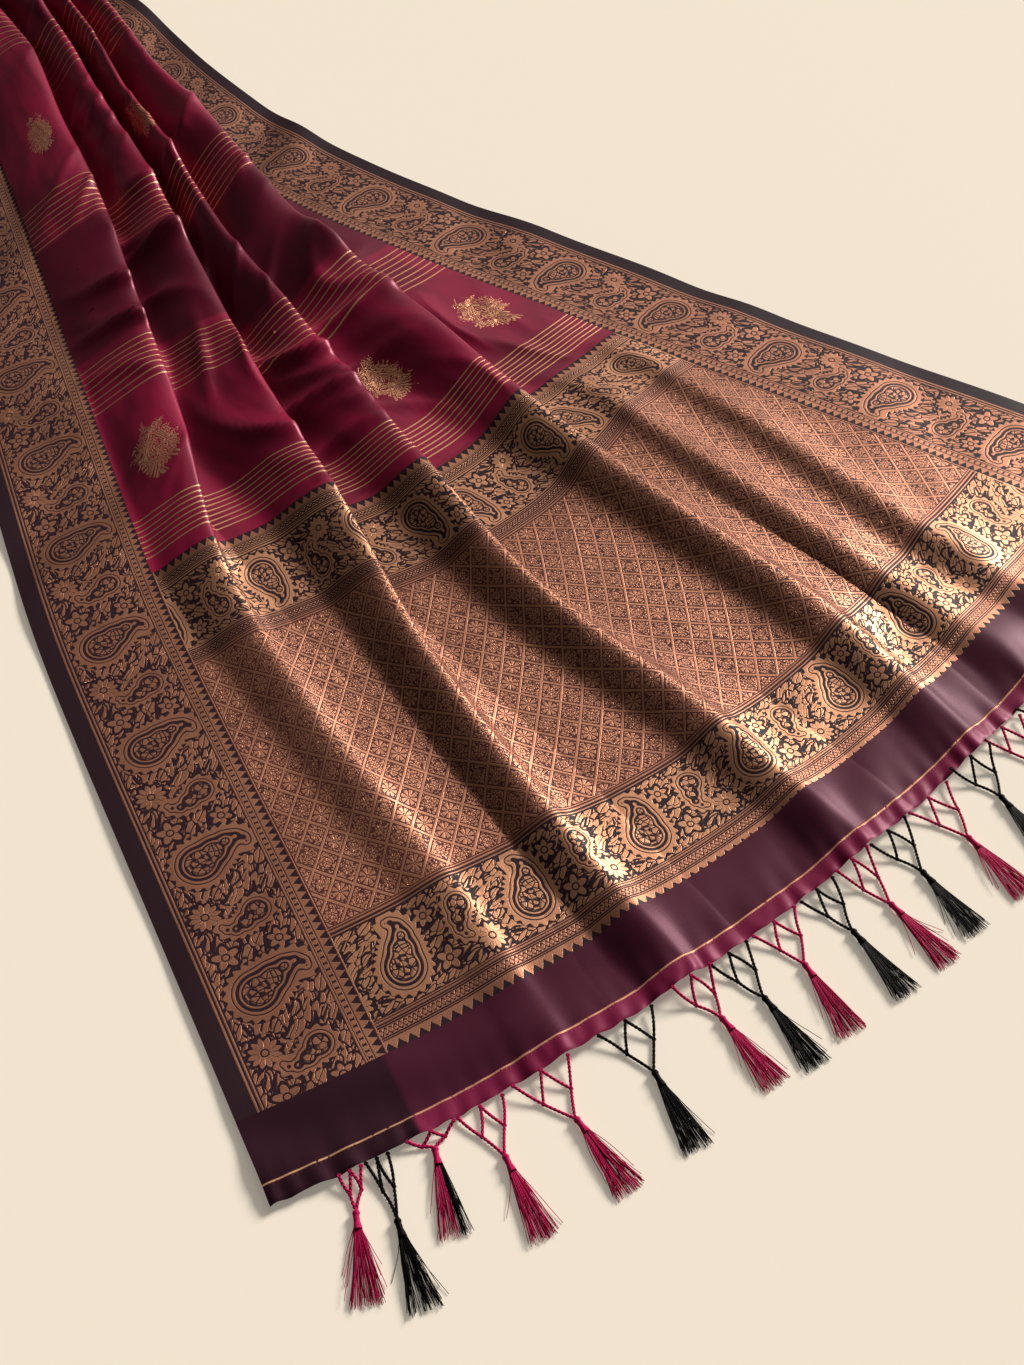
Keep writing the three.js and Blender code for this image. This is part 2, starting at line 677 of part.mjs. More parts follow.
// The origin is under the middle of the model's box.
const middle = new THREE.Box3().setFromObject(saree).getCenter(new THREE.Vector3());
saree.position.set(-middle.x, -middle.y, 0);

export default saree;
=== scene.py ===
"""Dresses the laid silk saree: woven cloth, zari borders, knotted nets with tassels, and its stage."""

import math
from functools import partialmethod, reduce

import bpy
import numpy as np
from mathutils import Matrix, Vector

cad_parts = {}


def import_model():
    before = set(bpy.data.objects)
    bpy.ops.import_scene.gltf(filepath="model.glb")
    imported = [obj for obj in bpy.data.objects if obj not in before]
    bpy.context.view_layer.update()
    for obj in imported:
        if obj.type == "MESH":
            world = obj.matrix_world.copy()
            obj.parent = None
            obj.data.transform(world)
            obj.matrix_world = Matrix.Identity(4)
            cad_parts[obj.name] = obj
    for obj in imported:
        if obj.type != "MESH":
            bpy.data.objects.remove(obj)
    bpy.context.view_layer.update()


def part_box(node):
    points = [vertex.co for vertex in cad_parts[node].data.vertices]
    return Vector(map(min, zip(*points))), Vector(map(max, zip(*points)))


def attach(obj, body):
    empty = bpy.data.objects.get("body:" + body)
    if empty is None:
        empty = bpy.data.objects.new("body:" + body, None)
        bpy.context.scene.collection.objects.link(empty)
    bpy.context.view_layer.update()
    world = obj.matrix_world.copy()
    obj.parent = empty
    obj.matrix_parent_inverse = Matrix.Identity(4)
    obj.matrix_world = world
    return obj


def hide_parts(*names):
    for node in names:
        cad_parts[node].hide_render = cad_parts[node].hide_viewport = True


bl_info = {
    "name": "Laid Saree",
    "version": (1, 0, 0),
    "blender": (4, 5, 0),
    "location": "View3D > Sidebar > Saree",
    "description": "Builds a silk saree laid flat, with zari borders and tassels",
    "category": "Add Mesh",
}

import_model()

MM = 0.001

# The cut of the cloth and how it lies, in millimetres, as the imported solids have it.
BORDER_WIDTH = 120.0
FIELD_WIDTH = 960.0
HEM_END = 18.0
END_BAND_END = 72.0
PALLU_END = 626.0
BODY_END = 1660.0
HALF_HEM = 571.0
EDGE_STEP = 5.0
SEAM = 0.3
LEVEL = 0.6
# The sharp creases start this far from the long edges, and are whole after this much more.
CREASE_FREE = 110
CREASE_BLEND = 120

# Columns: along, heading of the left edge, of the right edge, and of a section at the left edge, in degrees.
EDGES = np.array([
    [0, 74, 106, -16], [500, 74, 106, -16], [680, 70, 106, -16], [900, 69.5, 105, -16],
    [1040, 69.5, 98, -16], [1180, 69.5, 92, -16], [1300, 70, 85, -16], [1420, 71, 81, -12],
    [1560, 84, 91, -2], [1660, 89, 93, 5.2],
])

# The long pleats from the left. Columns: along, crest's share of the width, height, tuck, lead.
PLEATS = [
    np.array([
        [0, 0.21, 4, -45, 40], [200, 0.213, 7, -45, 40], [400, 0.208, 10, -40, 40],
        [600, 0.222, 14, -16, 52], [800, 0.288, 21, 34, 74], [1000, 0.357, 25, 48, 86],
        [1200, 0.434, 29.5, 54, 96], [1400, 0.48, 29.5, 48, 96], [1660, 0.6, 31, 56, 110],
    ]),
    np.array([
        [0, 0.31, 8.5, -52, 40], [200, 0.313, 15.5, -46, 38], [400, 0.332, 21, -16, 42],
        [600, 0.382, 25, 26, 66], [800, 0.422, 26.5, 42, 90], [1000, 0.497, 28, 40, 90],
        [1200, 0.572, 32, 32, 90], [1400, 0.61, 33.5, 24, 90], [1660, 0.71, 33.5, 14, 90],
    ]),
    np.array([
        [0, 0.478, 8.5, -56, 42], [200, 0.477, 17, -50, 42], [400, 0.466, 22.5, -8, 44],
        [600, 0.498, 25, 26, 58], [800, 0.536, 28, 34, 90], [1000, 0.583, 31, 18, 90],
        [1200, 0.652, 35, 11, 90], [1400, 0.692, 36.5, 8, 90], [1660, 0.8, 35, 8, 90],
    ]),
    np.array([
        [0, 0.61, 8.5, -44, 42], [200, 0.639, 15.5, -38, 42], [400, 0.647, 21, -24, 44],
        [600, 0.665, 26.5, 32, 64], [800, 0.7, 28, 52, 90], [1000, 0.738, 29.5, 46, 90],
        [1200, 0.8, 35, 38, 90], [1400, 0.815, 36.5, 24, 90], [1660, 0.91, 35, 14, 90],
    ]),
]
# Two soft waves in the end piece. Columns: along, crest's share of the width, height, reach.
WAVES = [
    np.array([[0, 0.7, 5.5, 34], [200, 0.714, 11, 30], [400, 0.732, 11, 28], [600, 0.755, 5.5, 26]]),
    np.array([[0, 0.775, 5.5, 34], [200, 0.787, 10, 30], [400, 0.818, 8.5, 26], [600, 0.838, 3, 20]]),
]
WAVES_FADE = (540, 680)
WAVE_PROFILE = [(-1, 0), (-0.45, 0.7), (0, 1), (0.5, 0.55), (1.1, 0)]
CREST_NOSE = 4
TURN_HEIGHT = 5
TURN_DEPTH = 3
SOFT_TUCK = 20
CLEAR_OF_CREST = 10
BORDER_FOOT = 115
LEAST_FLOOR = 12

# How far the woven pattern runs ahead of the section lines. Columns: along, in the middle, at the right.
SAG = np.array([
    [0, 0, 0], [72, 5, 0], [187, 19, 3], [490, 34, 5],
    [626, 43, 40], [860, 55, 55], [1150, 75, 85], [1660, 80, 90],
])

# Tassels, in millimetres. Columns: place across the cloth, fall from the hem to the head, degrees turned
# left of square.
TASSELS = np.array([
    [60, 32, -15], [81, 50, -6], [124, 15, -12], [165, 45, -4], [217, 47, 3], [294, 48, -6],
    [358, 41, -1], [398, 47, -4], [446, 45, -10], [494, 47, -8], [534, 49, -6], [580, 46, -10],
    [634, 50, -8], [692, 45, -8], [742, 47, -5], [791, 44, -7], [843, 48, -3], [894, 46, -6],
    [942, 45, -2], [990, 48, -5], [1044, 46, 0], [1092, 44, -4], [1141, 46, 3],
])
# Yarns take turns along the hem, but for the fourth tassel. The third has some of both.
BLACK = [k % 2 == 1 and k != 3 for k in range(len(TASSELS))]
MIXED = 2
NET_HALF_WIDTH = 24
NET_GAP = 2
NET_HEIGHT = 1.9
NET_ROOT = 0.3
NET_KNOTS = 0.48  # the share of the fall at which the two knots lie
NET_BOW = 1.2
CORD_SIDES = 5
KNOT_RADIUS = 1.35
KNOT_CORD = 0.75
HEAD_LENGTH = 11
HEAD_HEIGHT = 3.3
HEAD_SIDES = 12
# The head's shares of length and its radii there, and how much cord one turn of the plies takes.
HEAD_PROFILE = [
    (0, 0.07, 0.2, 0.32, 0.5, 0.62, 0.8, 1),
    (0.6, 2.0, 2.9, 2.3, 2.35, 2.3, 2.9, 3.3),
]
PLY_TURN = 6.5
STRAND_LENGTH = 56
STRAND_FAN = 12.5
STRAND_FLOOR = 0.35
STRAYS = 0.08  # the share of threads that lie askew

# The folded length behind the body, in millimetres.
STACK_WIDTH = 408
STACK_DEPTH = 372
STACK_CORNER = 26
STACK_LAYERS = 9
STACK_LAYER = 5.2
STACK_CROWN = 5
STACK_ROUND = 60
STACK_POINTS = 400
STACK_PATTERN = 700  # where along the cloth its pattern starts
# Rings of one layer, by their share of its height and inset, and the insets of the rings on top.
STACK_BULGE = [(0.08, 2.6), (0.2, 0.9), (0.4, 0.1), (0.62, 0.1), (0.82, 0.9), (0.96, 2.6)]
STACK_TOP = [5, 9, 16, 28, 44, 62, 82, 104, 128, 150, 168, 180]

# How metallic a metal yarn is.
METALLIC = 0.85

# The woven pattern, in millimetres. Lines have a place and a width. Drops and flowers lie along and across
# the scroll: a circle has x, y and radius, and a flower x, y, petals, radius and their depth.
SCROLL_LENGTH = 132.0
LARGE_DROP = [(35, 31, 19), (41, 45, 15), (46, 57, 10), (47, 66, 6), (43, 72, 3.6), (38, 73, 2)]
SMALL_DROP = [(104, 56, 11), (98, 45, 8), (95, 36, 5), (97, 29, 3), (101, 26, 1.6)]
SCROLL_FLOWERS = [(116, 17, 12, 11.5, 1.6), (74, 19, 5, 8.6, 2.6), (72, 63, 6, 7.6, 1.9)]
BORDER_LINES = [(17.8, 1.6), (21.3, 1.4), (104.3, 1.4), (106.2, 0.7), (110.7, 0.7), (112.6, 1.2)]
PALLU_LINES = [
    (81, 2.2), (97.6, 1.4), (99.9, 1.0), (184.6, 1.2), (188.4, 1.6), (191.4, 1.0), (501.4, 1.4),
    (504.2, 1.0), (517.2, 1.0), (520, 1.4), (601.4, 1.4), (604, 1.0), (616.6, 1.4),
]
# Chains beside the bands: their middle and half their width.
PALLU_CHAINS = [(89.3, 6.2), (510.7, 5.0), (610.3, 4.8)]
# The two sides of a lattice tile, and the side that its flower is drawn for.
LATTICE = (22.6, 19.8)
LATTICE_SIDE = 21.0
STRIPE_GROUPS = [(645, 694), (862, 930), (1155, 1228), (1512, 1600)]
# Sprigs: their places across on one row, that row's place, the distance of the next, how far the places move
# aside for each millimetre along, and the flowers of one, with x, y, radius and strokes.
SPRIGS = (174, 725, 1030)
SPRIG_ROW = 768
SPRIG_PITCH = 571
SPRIG_LEAN = 0.077
SPRIG_FLOWERS = [(0, -13, 20, 23), (13, 7, 14, 17), (1, 20, 14, 17), (9, 33, 6, 9), (21, -8, 6, 9)]

# The photo's camera, in metres and degrees, from the middle of the hem.
CAMERA_PLACE = (-0.7817, -0.486, 1.155)
CAMERA_ELEVATION = 49.4
CAMERA_AZIMUTH = -42
LENS = 45.26  # in millimetres, as the sensor's width
SENSOR = 36
FLOOR_SIZE = 14
FLOOR_GLOW = 0.32
SKY = (1.0, 0.96, 0.9, 1)
SKY_STRENGTH = 0.08
# Suns: name, direction, width in degrees, strength, colour.
SUNS = [
    ("key", (0.925, 0.08, 0.46), 18, 5.2, (1.0, 0.955, 0.89)),
    ("back", (0.6, 0.42, 0.6), 40, 0.42, (1.0, 0.97, 0.94)),
]


def colour(name, about, value):
    """A colour property with its default as red, green and blue in linear light."""
    return bpy.props.FloatVectorProperty(
        name=name, description=about, subtype="COLOR", size=3, min=0, max=1, default=value
    )


def length(name, about, value, low, high):
    """A property that is a length in metres."""
    return bpy.props.FloatProperty(
        name=name, description=about, unit="LENGTH", default=value, min=low, max=high
    )


class SareeColours(bpy.types.PropertyGroup):
    """Yarn and cloth colours."""

    silk: colour("Body silk", "Maroon silk of the body", (0.205, 0.007, 0.033))
    # A darker band of the body silk: partly the silk's own darker tone, partly painted shade of the folds
    # there.
    silk_dark_and_shade: colour("Dark silk", "Darker bands between two groups of stripes", (0.065, 0.004, 0.013))
    plum: colour("Plum ground", "Ground of the borders and the paisley bands", (0.020, 0.006, 0.011))
    brown: colour("Brown ground", "Ground of the lattice", (0.070, 0.017, 0.016))
    shot: colour("Shot band", "Plain band at the end, between the borders", (0.052, 0.008, 0.020))
    hem: colour("Hem silk", "The rolled hem between the borders", (0.170, 0.010, 0.045))
    copper: colour("Copper zari", "Metal yarn of the borders and the end piece", (0.51, 0.222, 0.135))
    gold: colour("Gold zari", "Metal yarn of the stripes and sprigs", (0.67, 0.355, 0.19))
    magenta: colour("Magenta yarn", "Every second tassel", (0.44, 0.010, 0.085))
    black: colour("Black yarn", "The other tassels", (0.004, 0.003, 0.003))
    floor: colour("Floor", "The surface that the saree lies on", (0.72, 0.65, 0.55))


class SareeSizes(bpy.types.PropertyGroup):
    """Sizes that change the look and leave the garment's own size alone."""

    cloth: length("Cloth", "Thickness of the silk", 0.0005, 0.0002, 0.001)
    thread: length("Thread", "Radius of a tassel's thread", 0.00036, 0.0001, 0.0006)
    threads: bpy.props.IntProperty(
        name="Threads", description="Threads in each tassel", default=96, min=20, max=120
    )
    ply: length("Ply", "Radius of one ply of a net's cord", 0.00092, 0.0003, 0.0012)


def eased(t):
    """0 to 1 with level ends."""
    return t * t * (3 - 2 * t)


def limited(t):
    """A number kept between 0 and 1."""
    return np.clip(t, 0, 1)


def table_at(table, along):
    """Each column of a table as a smooth curve over its first one.

    Between two rows it is a cubic, whose slope at a row is that of the line between the row's neighbours."""
    knots = table[:, 0]
    at = np.clip(along, knots[0], knots[-1])
    i = np.clip(np.searchsorted(knots, at, side="right") - 1, 0, len(knots) - 2)
    order = np.arange(len(knots))
    low = np.maximum(order - 1, 0)
    high = np.minimum(order + 1, len(knots) - 1)
    slope = (table[high] - table[low]) / (knots[high] - knots[low])[:, None]
    span = (knots[i + 1] - knots[i])[:, None]
    t = (at[:, None] - knots[i][:, None]) / span
    rise = eased(t)
    bend = span * t * (1 - t) * ((1 - t) * slope[i] - t * slope[i + 1])
    return (table[i] * (1 - rise) + table[i + 1] * rise + bend)[:, 1:]


def walked_edge(start, column):
    """An edge of the cloth on the floor, in steps of one length, each along its heading in the table."""
    steps = np.arange(0, BODY_END + 50, EDGE_STEP)
    heading = np.radians(table_at(EDGES, steps)[:, column])
    moves = EDGE_STEP * np.stack([np.cos(heading), np.sin(heading)], 1)
    return np.concatenate([[start], start + np.cumsum(moves, 0)])


LEFT_EDGE = walked_edge(np.array([-HALF_HEM, 0.0]), 0)
RIGHT_EDGE = walked_edge(np.array([HALF_HEM, 0.0]), 1)


def edge_at(edge, along):
    """Points of a walked edge, by straight lines between its steps."""
    place = along / EDGE_STEP
    i = np.clip(np.floor(place).astype(int), 0, len(edge) - 2)
    t = (place - i)[:, None]
    return edge[i] * (1 - t) + edge[i + 1] * t


def section_arcs(along):
    """Each section's arc on the floor from edge to edge. It turns by twice the angle from start to chord."""
    start = edge_at(LEFT_EDGE, along)
    chord = edge_at(RIGHT_EDGE, along) - start
    heading = np.radians(table_at(EDGES, along)[:, 2])
    turn = 2 * (np.arctan2(chord[:, 1], chord[:, 0]) - heading)
    radius = np.hypot(chord[:, 0], chord[:, 1]) / (2 * np.sin(turn / 2))
    return start, heading, turn, radius, radius * turn


def control_points(along, width):
    """Control points of each section's height line, as x along the arc and z up, and the right border's width.

    Each pleat rises over its lead to a crest, and then slopes down or folds back under it by its tuck."""
    level = np.full_like(width, LEVEL)
    xs = [0 * width + BORDER_FOOT * third / 3 for third in range(4)]
    zs = [level] * 4
    base = 0 * width + BORDER_FOOT
    clear = base + 2
    for table in PLEATS:
        share, height, tuck, lead = table_at(table, along).T
        crest = share * width
        lead = np.minimum(lead, crest - clear)
        folded = limited(tuck / SOFT_TUCK)
        opened = limited(-tuck / SOFT_TUCK)
        over = limited(tuck / SOFT_TUCK / 2 + 0.5)
        under = crest - tuck
        foot = crest - 0.5 * np.maximum(tuck, 0) + np.maximum(-tuck, 0) + 14 * opened
        xs += [
            (base + crest - lead) / 2,
            *(crest - back * lead for back in (1, 0.72, 0.38, 0.12)),
            crest + CREST_NOSE,
            crest + CREST_NOSE / 2 - 0.2 * tuck * (1 - over),
            crest - 0.5 * tuck,
            under,
            under - TURN_DEPTH * (folded - opened),
            under + 6 * opened,
            foot,
        ]
        zs += [
            *(level + rise * height for rise in (0, 0, 0.42, 0.82, 1, 0.94, 0.5)),
            level + 0.22 * height * (1 - over) + (TURN_HEIGHT + 1.5) * over,
            level + 0.06 * height * (1 - over) + TURN_HEIGHT * over,
            level + over * TURN_HEIGHT / 2,
            level,
            level,
        ]
        base = foot
        clear = np.maximum(crest + CLEAR_OF_CREST, foot + 6)
    last = np.maximum(width - BORDER_WIDTH, base + LEAST_FLOOR)
    fade = eased(limited((along - WAVES_FADE[0]) / (WAVES_FADE[1] - WAVES_FADE[0])))
    for k, table in enumerate(WAVES):
        share, height, reach = table_at(table, along).T
        for j, (side, rise) in enumerate(WAVE_PROFILE):
            even = base + (last - base) / 11 * (5 * k + j + 1)
            xs.append((share * width + side * reach) * (1 - fade) + even * fade)
            zs.append(level + rise * height * (1 - fade))
    rest = width - last
    xs += [last, last + rest / 3, last + rest * 2 / 3, width]
    zs += [level] * 4
    return np.stack(xs, 1), np.stack(zs, 1), rest


def spline(points, t):
    """A uniform cubic B-spline of rows of control points; t counts the points, and both ends are met."""
    ends = 2 * points[:, [0, -1]] - points[:, [1, -2]]
    padded = np.concatenate([ends[:, :1], points, ends[:, 1:]], 1)
    i = np.clip(np.floor(t).astype(int), 0, points.shape[1] - 2)
    f = t - i
    weights = [(1 - f) ** 3, 3 * f**3 - 6 * f**2 + 4, -3 * f**3 + 3 * f**2 + 3 * f + 1, f**3]
    return sum(w * np.take_along_axis(padded, i + j, 1) for j, w in enumerate(weights)) / 6


class Cloth:
    """The laid cloth as a function of the length along it, one to a row, and of a place on each section."""

    def __init__(self, along):
        self.along = along
        self.start, self.heading, self.turn, self.radius, self.width = section_arcs(along)
        self.xs, self.zs, self.right_border = control_points(along, self.width)
        self.last = self.xs.shape[1] - 1
        self.dense = np.tile(np.linspace(0, self.last, 12 * self.last + 1), (len(along), 1))
        x, z = spline(self.xs, self.dense), spline(self.zs, self.dense)
        pieces = np.hypot(np.diff(x, axis=1), np.diff(z, axis=1))
        self.length = np.concatenate([0 * x[:, :1], np.cumsum(pieces, 1)], 1)
        self.total = self.length[:, -1]

    def place(self, across):
        """The place on each section that lies a length of cloth from its left edge."""
        return np.array([np.interp(*row) for row in zip(across, self.length, self.dense)])

    def across(self, t):
        """The length of cloth from the left edge to each place."""
        return np.array([np.interp(*row) for row in zip(t, self.dense, self.length)])

    def points(self, t):
        """Points in millimetres, and their lengths from the left edge. The height line's x goes round the
        section's arc and its z goes up, with the weave's unevenness on it."""
        x = spline(self.xs, t)
        angle = self.heading[:, None] + self.turn[:, None] * x / self.width[:, None]
        radius = self.radius[:, None]
        px = self.start[:, :1] + radius * (np.sin(angle) - np.sin(self.heading)[:, None])
        py = self.start[:, 1:] + radius * (np.cos(self.heading)[:, None] - np.cos(angle))
        across = self.across(t)
        from_edge = np.stack([across, self.total[:, None] - across])
        inside = limited((from_edge - CREASE_FREE) / CREASE_BLEND).prod(0)
        z = spline(self.zs, t) + unevenness(self.along[:, None] + 0 * t, across, inside)
        return np.stack([px, py, z], 2), across


def swell(phase):
    """A sine's height above its trough, 0 to 2."""
    return 1 + np.sin(phase)


def crease(phase):
    """A narrow ridge twice in a turn, 0 to 1."""
    return (1 - abs(np.sin(phase))) ** 2


def unevenness(along, across, inside):
    """Small creases of silk that has been folded and laid out: sums of sines whose phase wanders slowly.

    The body has sharper ridges too, as deep as inside says: 0 on the borders and 1 well clear of them.
    Gathers a few millimetres apart run in from the hem and die out within 50 mm."""
    wander = 1.9 * np.sin(along / 173 + across / 290) + 1.2 * np.sin(along / 71 - across / 143)
    soft = 0.55 * swell(across / 33 + along / 190 + wander)
    soft += 0.2 * swell(across / 14.3 - along / 61 + 1.7 * wander) * swell(along / 120 + 1)
    soft += 0.5 * swell(along / 48 + across / 97 + wander)
    hollows = 1 + np.sin(across / 46 - along / 125 + 1.3 * wander) * np.sin(along / 88 + across / 230)
    ridges = 7.0 * crease(across / 74 + along / 128 + 1.5 * wander) * swell(along / 63 - across / 117)
    ridges += 2.8 * crease(across / 31 - along / 83 + 2.2 * wander) * swell(along / 41 + across / 61)
    deeper = limited((along - 560) / 200)
    shimmer = 0.3 * swell(across / 11 + wander * 2) + 1.6 * swell(across / 37 + along / 19 + wander)
    shimmer = shimmer * np.exp(-(((along - 45) / 40) ** 2))
    gathers = 1.7 + np.sin(across / 3.4 + 2.1 * np.sin(across / 27))
    gathers += 0.7 * np.sin(across / 6.1 + 3 * np.sin(across / 41))
    gathers = 0.8 * np.exp(-along / 17) * gathers
    return 0.8 * soft + (0.8 + 1.4 * deeper) * hollows + deeper * inside * ridges + shimmer + gathers


# From the tables' origin, the middle of the hem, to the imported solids. The hem's highest y is at the corners
# of its inner edge, half a seam back on the walked edge.
HEM_LOW, HEM_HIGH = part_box("hem")
HEM_DEPTH = (HEM_END - SEAM / 2) * math.sin(math.radians(EDGES[0, 1]))
SHIFT = np.array([HEM_LOW.x + HALF_HEM * MM, HEM_HIGH.y - HEM_DEPTH * MM, 0.0])


def world(points):
    """Points of the laid cloth in metres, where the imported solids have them."""
    return points * MM + SHIFT


def grid_faces(rows, columns, closed=False):
    """Faces between neighbours of a grid, by vertex number; closed joins the last column to the first."""
    r = np.arange(rows - 1)[:, None] * columns
    c = np.arange(columns if closed else columns - 1)[None, :]
    after = (c + 1) % columns
    return np.stack([r + c, r + after, r + columns + after, r + columns + c], 2).reshape(-1, 4)


def new_piece(name, points, faces, uv, materials, nodes):
    """A smooth mesh from points in millimetres and faces of four, with its map, in place of its nodes."""
    points = world(points).reshape(-1, 3)
    mesh = bpy.data.meshes.new(name)
    mesh.vertices.add(len(points))
    mesh.vertices.foreach_set("co", np.ascontiguousarray(points, np.float32).ravel())
    mesh.loops.add(faces.size)
    mesh.loops.foreach_set("vertex_index", faces.ravel().astype(np.int32))
    mesh.polygons.add(len(faces))
    mesh.polygons.foreach_set("loop_start", np.arange(0, faces.size, 4, dtype=np.int32))
    mesh.polygons.foreach_set("use_smooth", np.ones(len(faces), bool))
    mesh.update(calc_edges=True)
    # The rim keeps its own shading, so that no seam glints.
    edges = np.empty(faces.size, np.int32)
    mesh.loops.foreach_get("edge_index", edges)
    mesh.edges.foreach_set("use_edge_sharp", np.bincount(edges, minlength=len(mesh.edges)) == 1)
    layer = mesh.uv_layers.new(name="cloth")
    layer.uv.foreach_set("vector", np.ascontiguousarray(uv[faces.ravel()], np.float32).ravel())
    piece = bpy.data.objects.new(name, mesh)
    bpy.context.collection.objects.link(piece)
    for material in materials:
        mesh.materials.append(material)
    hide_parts(*nodes)
    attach(piece, "root")
    return piece


def pattern_ahead(along, share):
    """How far the woven pattern is ahead of a section, which is most in the middle."""
    middle, right = table_at(SAG, along).T[:, :, None]
    rise = eased(limited((share - 0.12) / 0.35))
    fall = eased(limited((0.92 - share) / 0.34))
    return middle * rise * fall + right * eased(limited((share - 0.6) / 0.4))


def sheet(along, columns, part):
    """Points in millimetres and map in metres of a part of the cloth, at even places from seam to seam.

    The map has the length of cloth across and the place along. A border's runs in from its outer edge. In the
    middle it covers the field's full width and runs ahead of the sections, as the woven pattern sags."""
    cloth = Cloth(along)
    left = cloth.place(np.full(len(along), BORDER_WIDTH))
    right = cloth.place(cloth.total - cloth.right_border)
    start, end = 0 * left, 0 * left + cloth.last
    ends = {"left": (start, left), "middle": (left, right), "right": (right, end), "whole": (start, end)}
    low, high = (place[:, None] for place in ends[part])
    points, u = cloth.points(low + (high - low) * np.linspace(0, 1, columns))
    v = along[:, None] + 0 * u
    if part == "middle":
        field = (u - BORDER_WIDTH) / (cloth.total[:, None] - 2 * BORDER_WIDTH)
        u = BORDER_WIDTH + FIELD_WIDTH * field
        v = v + pattern_ahead(along, limited(field))
    elif part == "right":
        u = cloth.total[:, None] - u
    return points, np.stack([u, v], 2).reshape(-1, 2) * MM


def new_sheet(name, points, uv, materials, nodes):
    """A piece of cloth from rows of points, with the silk's thickness on both sides of its middle surface."""
    piece = new_piece(name, points, grid_faces(*points.shape[:2]), uv, materials, nodes)
    wall = piece.modifiers.new("thickness", "SOLIDIFY")
    wall.thickness = bpy.context.scene.saree_sizes.cloth
    wall.offset = 0.0
    wall.use_even_offset = False
    return piece


class Field:
    """A number that varies over a surface. Arithmetic on fields adds Math nodes to their tree."""

    def __init__(self, tree, socket):
        self.tree = tree
        self.socket = socket

    def math(self, operation, *others):
        node = self.tree.nodes.new("ShaderNodeMath")
        node.operation = operation
        for socket, value in zip(node.inputs, (self, *others)):
            if isinstance(value, Field):
                self.tree.links.new(value.socket, socket)
            else:
                socket.default_value = value
        return Field(self.tree, node.outputs[0])

    __add__ = __radd__ = partialmethod(math, "ADD")
    __sub__ = partialmethod(math, "SUBTRACT")
    __rsub__ = partialmethod(math, "MULTIPLY_ADD", -1.0)
    __mul__ = __rmul__ = partialmethod(math, "MULTIPLY")
    __abs__ = partialmethod(math, "ABSOLUTE")
    least = partialmethod(math, "MINIMUM")
    most = partialmethod(math, "MAXIMUM")
    soft_least = partialmethod(math, "SMOOTH_MIN")
    floor = partialmethod(math, "FLOOR")
    root = partialmethod(math, "SQRT")
    sine = partialmethod(math, "SINE")
    cosine = partialmethod(math, "COSINE")
    # Zero at every multiple of twice a length and the length halfway between, in straight lines.
    fold = partialmethod(math, "PINGPONG")

    def wrap(self, low, high):
        return self.math("WRAP", high, low)

    def step(self, low, high):
        """0 up to low and 1 from high on, eased between; with low above high it falls instead."""
        node = self.tree.nodes.new("ShaderNodeMapRange")
        node.interpolation_type = "SMOOTHSTEP"
        self.tree.links.new(self.socket, node.inputs["Value"])
        node.inputs["From Min"].default_value = low
        node.inputs["From Max"].default_value = high
        return Field(self.tree, node.outputs["Result"])

    def line(self, at, width, blur=0.35):
        """1 within a line of this width, and 0 outside it."""
        return abs(self - at).step(width / 2 + blur, width / 2 - blur)

    def between(self, low, high, blur=0.3):
        return self.line((low + high) / 2, high - low, blur)


def greatest(fields):
    """The greatest of several fields."""
    return reduce(Field.most, fields)


def joined(x, y):
    """Two fields as the vector that textures and distances read."""
    node = x.tree.nodes.new("ShaderNodeCombineXYZ")
    x.tree.links.new(x.socket, node.inputs["X"])
    x.tree.links.new(y.socket, node.inputs["Y"])
    return node.outputs[0]


def texture(kind, x, y, output, **values):
    """A texture node at a place, with its settings by name and its inputs by their labels."""
    node = x.tree.nodes.new("ShaderNodeTex" + kind)
    for name, value in values.items():
        if hasattr(node, name):
            setattr(node, name, value)
        else:
            node.inputs[name].default_value = value
    x.tree.links.new(joined(x, y), node.inputs["Vector"])
    return Field(x.tree, node.outputs[output])


def noise(x, y, scale, detail):
    """Smooth noise, mostly between 0.3 and 0.7."""
    return texture("Noise", x, y, "Fac", Scale=scale, Detail=detail)


def cells(x, y, feature, scale, randomness):
    """Distances in a loose grid of points: F1 to the nearest point, or DISTANCE_TO_EDGE of its cell."""
    return texture("Voronoi", x, y, "Distance", feature=feature, Scale=scale, Randomness=randomness)


def drop(x, y, circles, blend):
    """Distance to a curled drop: the smooth least of the distances to circles along its spine."""
    place = joined(x, y)
    shape = None
    for *centre, radius in circles:
        node = x.tree.nodes.new("ShaderNodeVectorMath")
        node.operation = "DISTANCE"
        x.tree.links.new(place, node.inputs[0])
        node.inputs[1].default_value = (*centre, 0)
        circle = Field(x.tree, node.outputs["Value"]) - radius
        shape = shape.soft_least(circle, blend) if shape else circle
    return shape


def polar(x, y, cx=0, cy=0):
    """The distance and the angle of a place from a centre."""
    dx = x - cx
    dy = y - cy
    return (dx * dx + dy * dy).root(), dy.math("ARCTAN2", dx)


def petals(x, y, cx, cy, count, radius, depth):
    """Distance to a flower, which is that to its centre less a radius that swings with the angle, and both."""
    reach, angle = polar(x, y, cx, cy)
    return reach - radius - (angle * count).cosine() * depth, reach, angle


